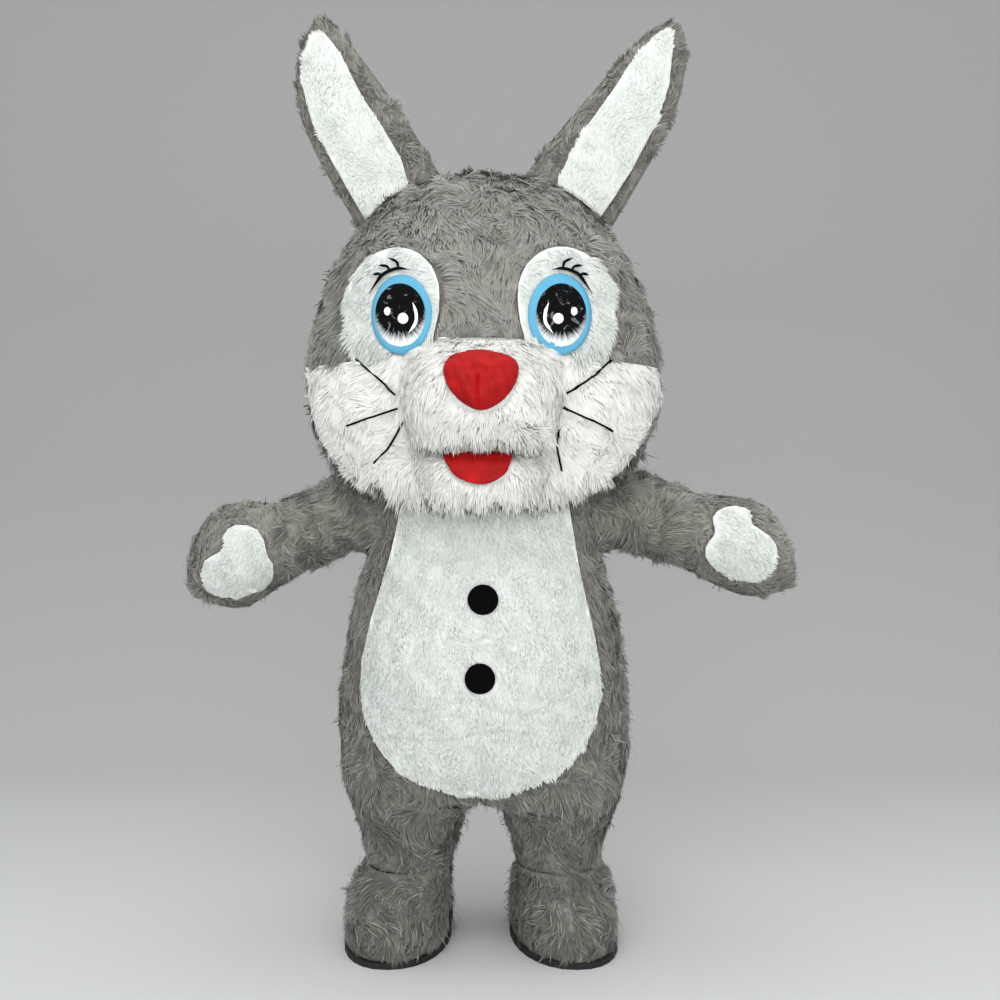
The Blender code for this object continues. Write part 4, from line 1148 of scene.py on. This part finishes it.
# Buttons and soles
BUTTON_ROUND, BUTTON_THICK = 15.2, 0.0085
belly_tree = tree_of(["belly"])
for name, x, y in (("button_top", 483.0, 600.0), ("button_low", 480.0, 679.0)):
    button = cushion(
        name + "_felt",
        oval(x, y, BUTTON_ROUND, BUTTON_ROUND),
        belly_tree,
        lambda r, u, v: BUTTON_THICK * (1 - 0.35 * r**8),
        8,
        black_felt,
    )
    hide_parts(name)
for side in "lr":
    NODES["sole_" + side].data.materials.clear()
    NODES["sole_" + side].data.materials.append(sole_rubber)


# Floor, wall and lights
def studio():
    """A pale floor that sweeps up into a grey wall; the floor is painted lighter towards the camera,
    painted light.
    """
    flat_to, sweep, under = 2.0, 2.6, 0.0004
    turns = [math.radians(a) for a in range(0, 91, 3)]
    bend = [(flat_to + sweep * math.sin(a), sweep * (1 - math.cos(a))) for a in turns]
    profile = [(-7.0, 0.0)] + bend + [(flat_to + sweep, 8.0)]
    bm = bmesh.new()
    rows = [[bm.verts.new((x, y, z - under)) for y, z in profile] for x in (-8.0, 8.0)]
    for i in range(len(profile) - 1):
        bm.faces.new((rows[0][i], rows[1][i], rows[1][i + 1], rows[0][i + 1]))
    mesh = bpy.data.meshes.new("studio_floor")
    bm.to_mesh(mesh)
    bm.free()
    made = bpy.data.objects.new("studio_floor", mesh)
    bpy.context.scene.collection.objects.link(made)
    paint, tree, shader = fresh("painted_floor", {"Roughness": 0.6, "Specular IOR Level": 0.2})
    place = node(tree, "ShaderNodeTexCoord").outputs["Object"]
    parts = node(tree, "ShaderNodeSeparateXYZ", links={"Vector": place})
    # Painted light: the floor lighter towards the camera and darker back to the sweep, then the wall's grey
    along = {"operation": "MULTIPLY_ADD", 1: 0.125, 2: 0.41}
    far = node(tree, "ShaderNodeMath", along, {0: parts.outputs["Y"]})
    shades = [(0.12, "#d6d8d7"), (0.42, "#c6c8c7"), (0.66, "#b7b9b8"), (0.95, "#a2a2a2")]
    colour = ramp(tree, far.outputs[0], shades)
    tree.links.new(colour, shader.inputs["Base Color"])
    mesh.materials.append(paint)
    mesh.polygons.foreach_set("use_smooth", [True] * len(mesh.polygons))


studio()
world = bpy.data.worlds.new("studio")
bpy.context.scene.world = world
world.use_nodes = True
world.node_tree.nodes["Background"].inputs["Color"].default_value = linear("#fbfcfd")
world.node_tree.nodes["Background"].inputs["Strength"].default_value = 0.95


def lamp(name, place, aim, size, watts):
    """A soft white lamp at a place, turned to what it lights."""
    data = bpy.data.lights.new(name, "AREA")
    data.shape = "RECTANGLE"
    data.size, data.size_y = size
    data.energy = watts
    data.color = linear("#ffffff")[:3]
    made = bpy.data.objects.new(name, data)
    made.location = place
    made.rotation_euler = (Vector(aim) - Vector(place)).to_track_quat("-Z", "Y").to_euler()
    made.visible_camera = False
    bpy.context.scene.collection.objects.link(made)


lamp("key", (-0.8, -3.4, 4.6), (0, 0, 1.4), (3.2, 2.2), 80)
lamp("fill", (2.6, -3.4, 2.6), (0, 0, 1.2), (2.4, 2.4), 20)
lamp("top", (0.0, 0.4, 5.0), (0, 0.2, 1.0), (3.4, 2.6), 35)
lamp("front", (0.2, -4.8, 1.5), (0, 0, 1.35), (3.8, 2.4), 104)
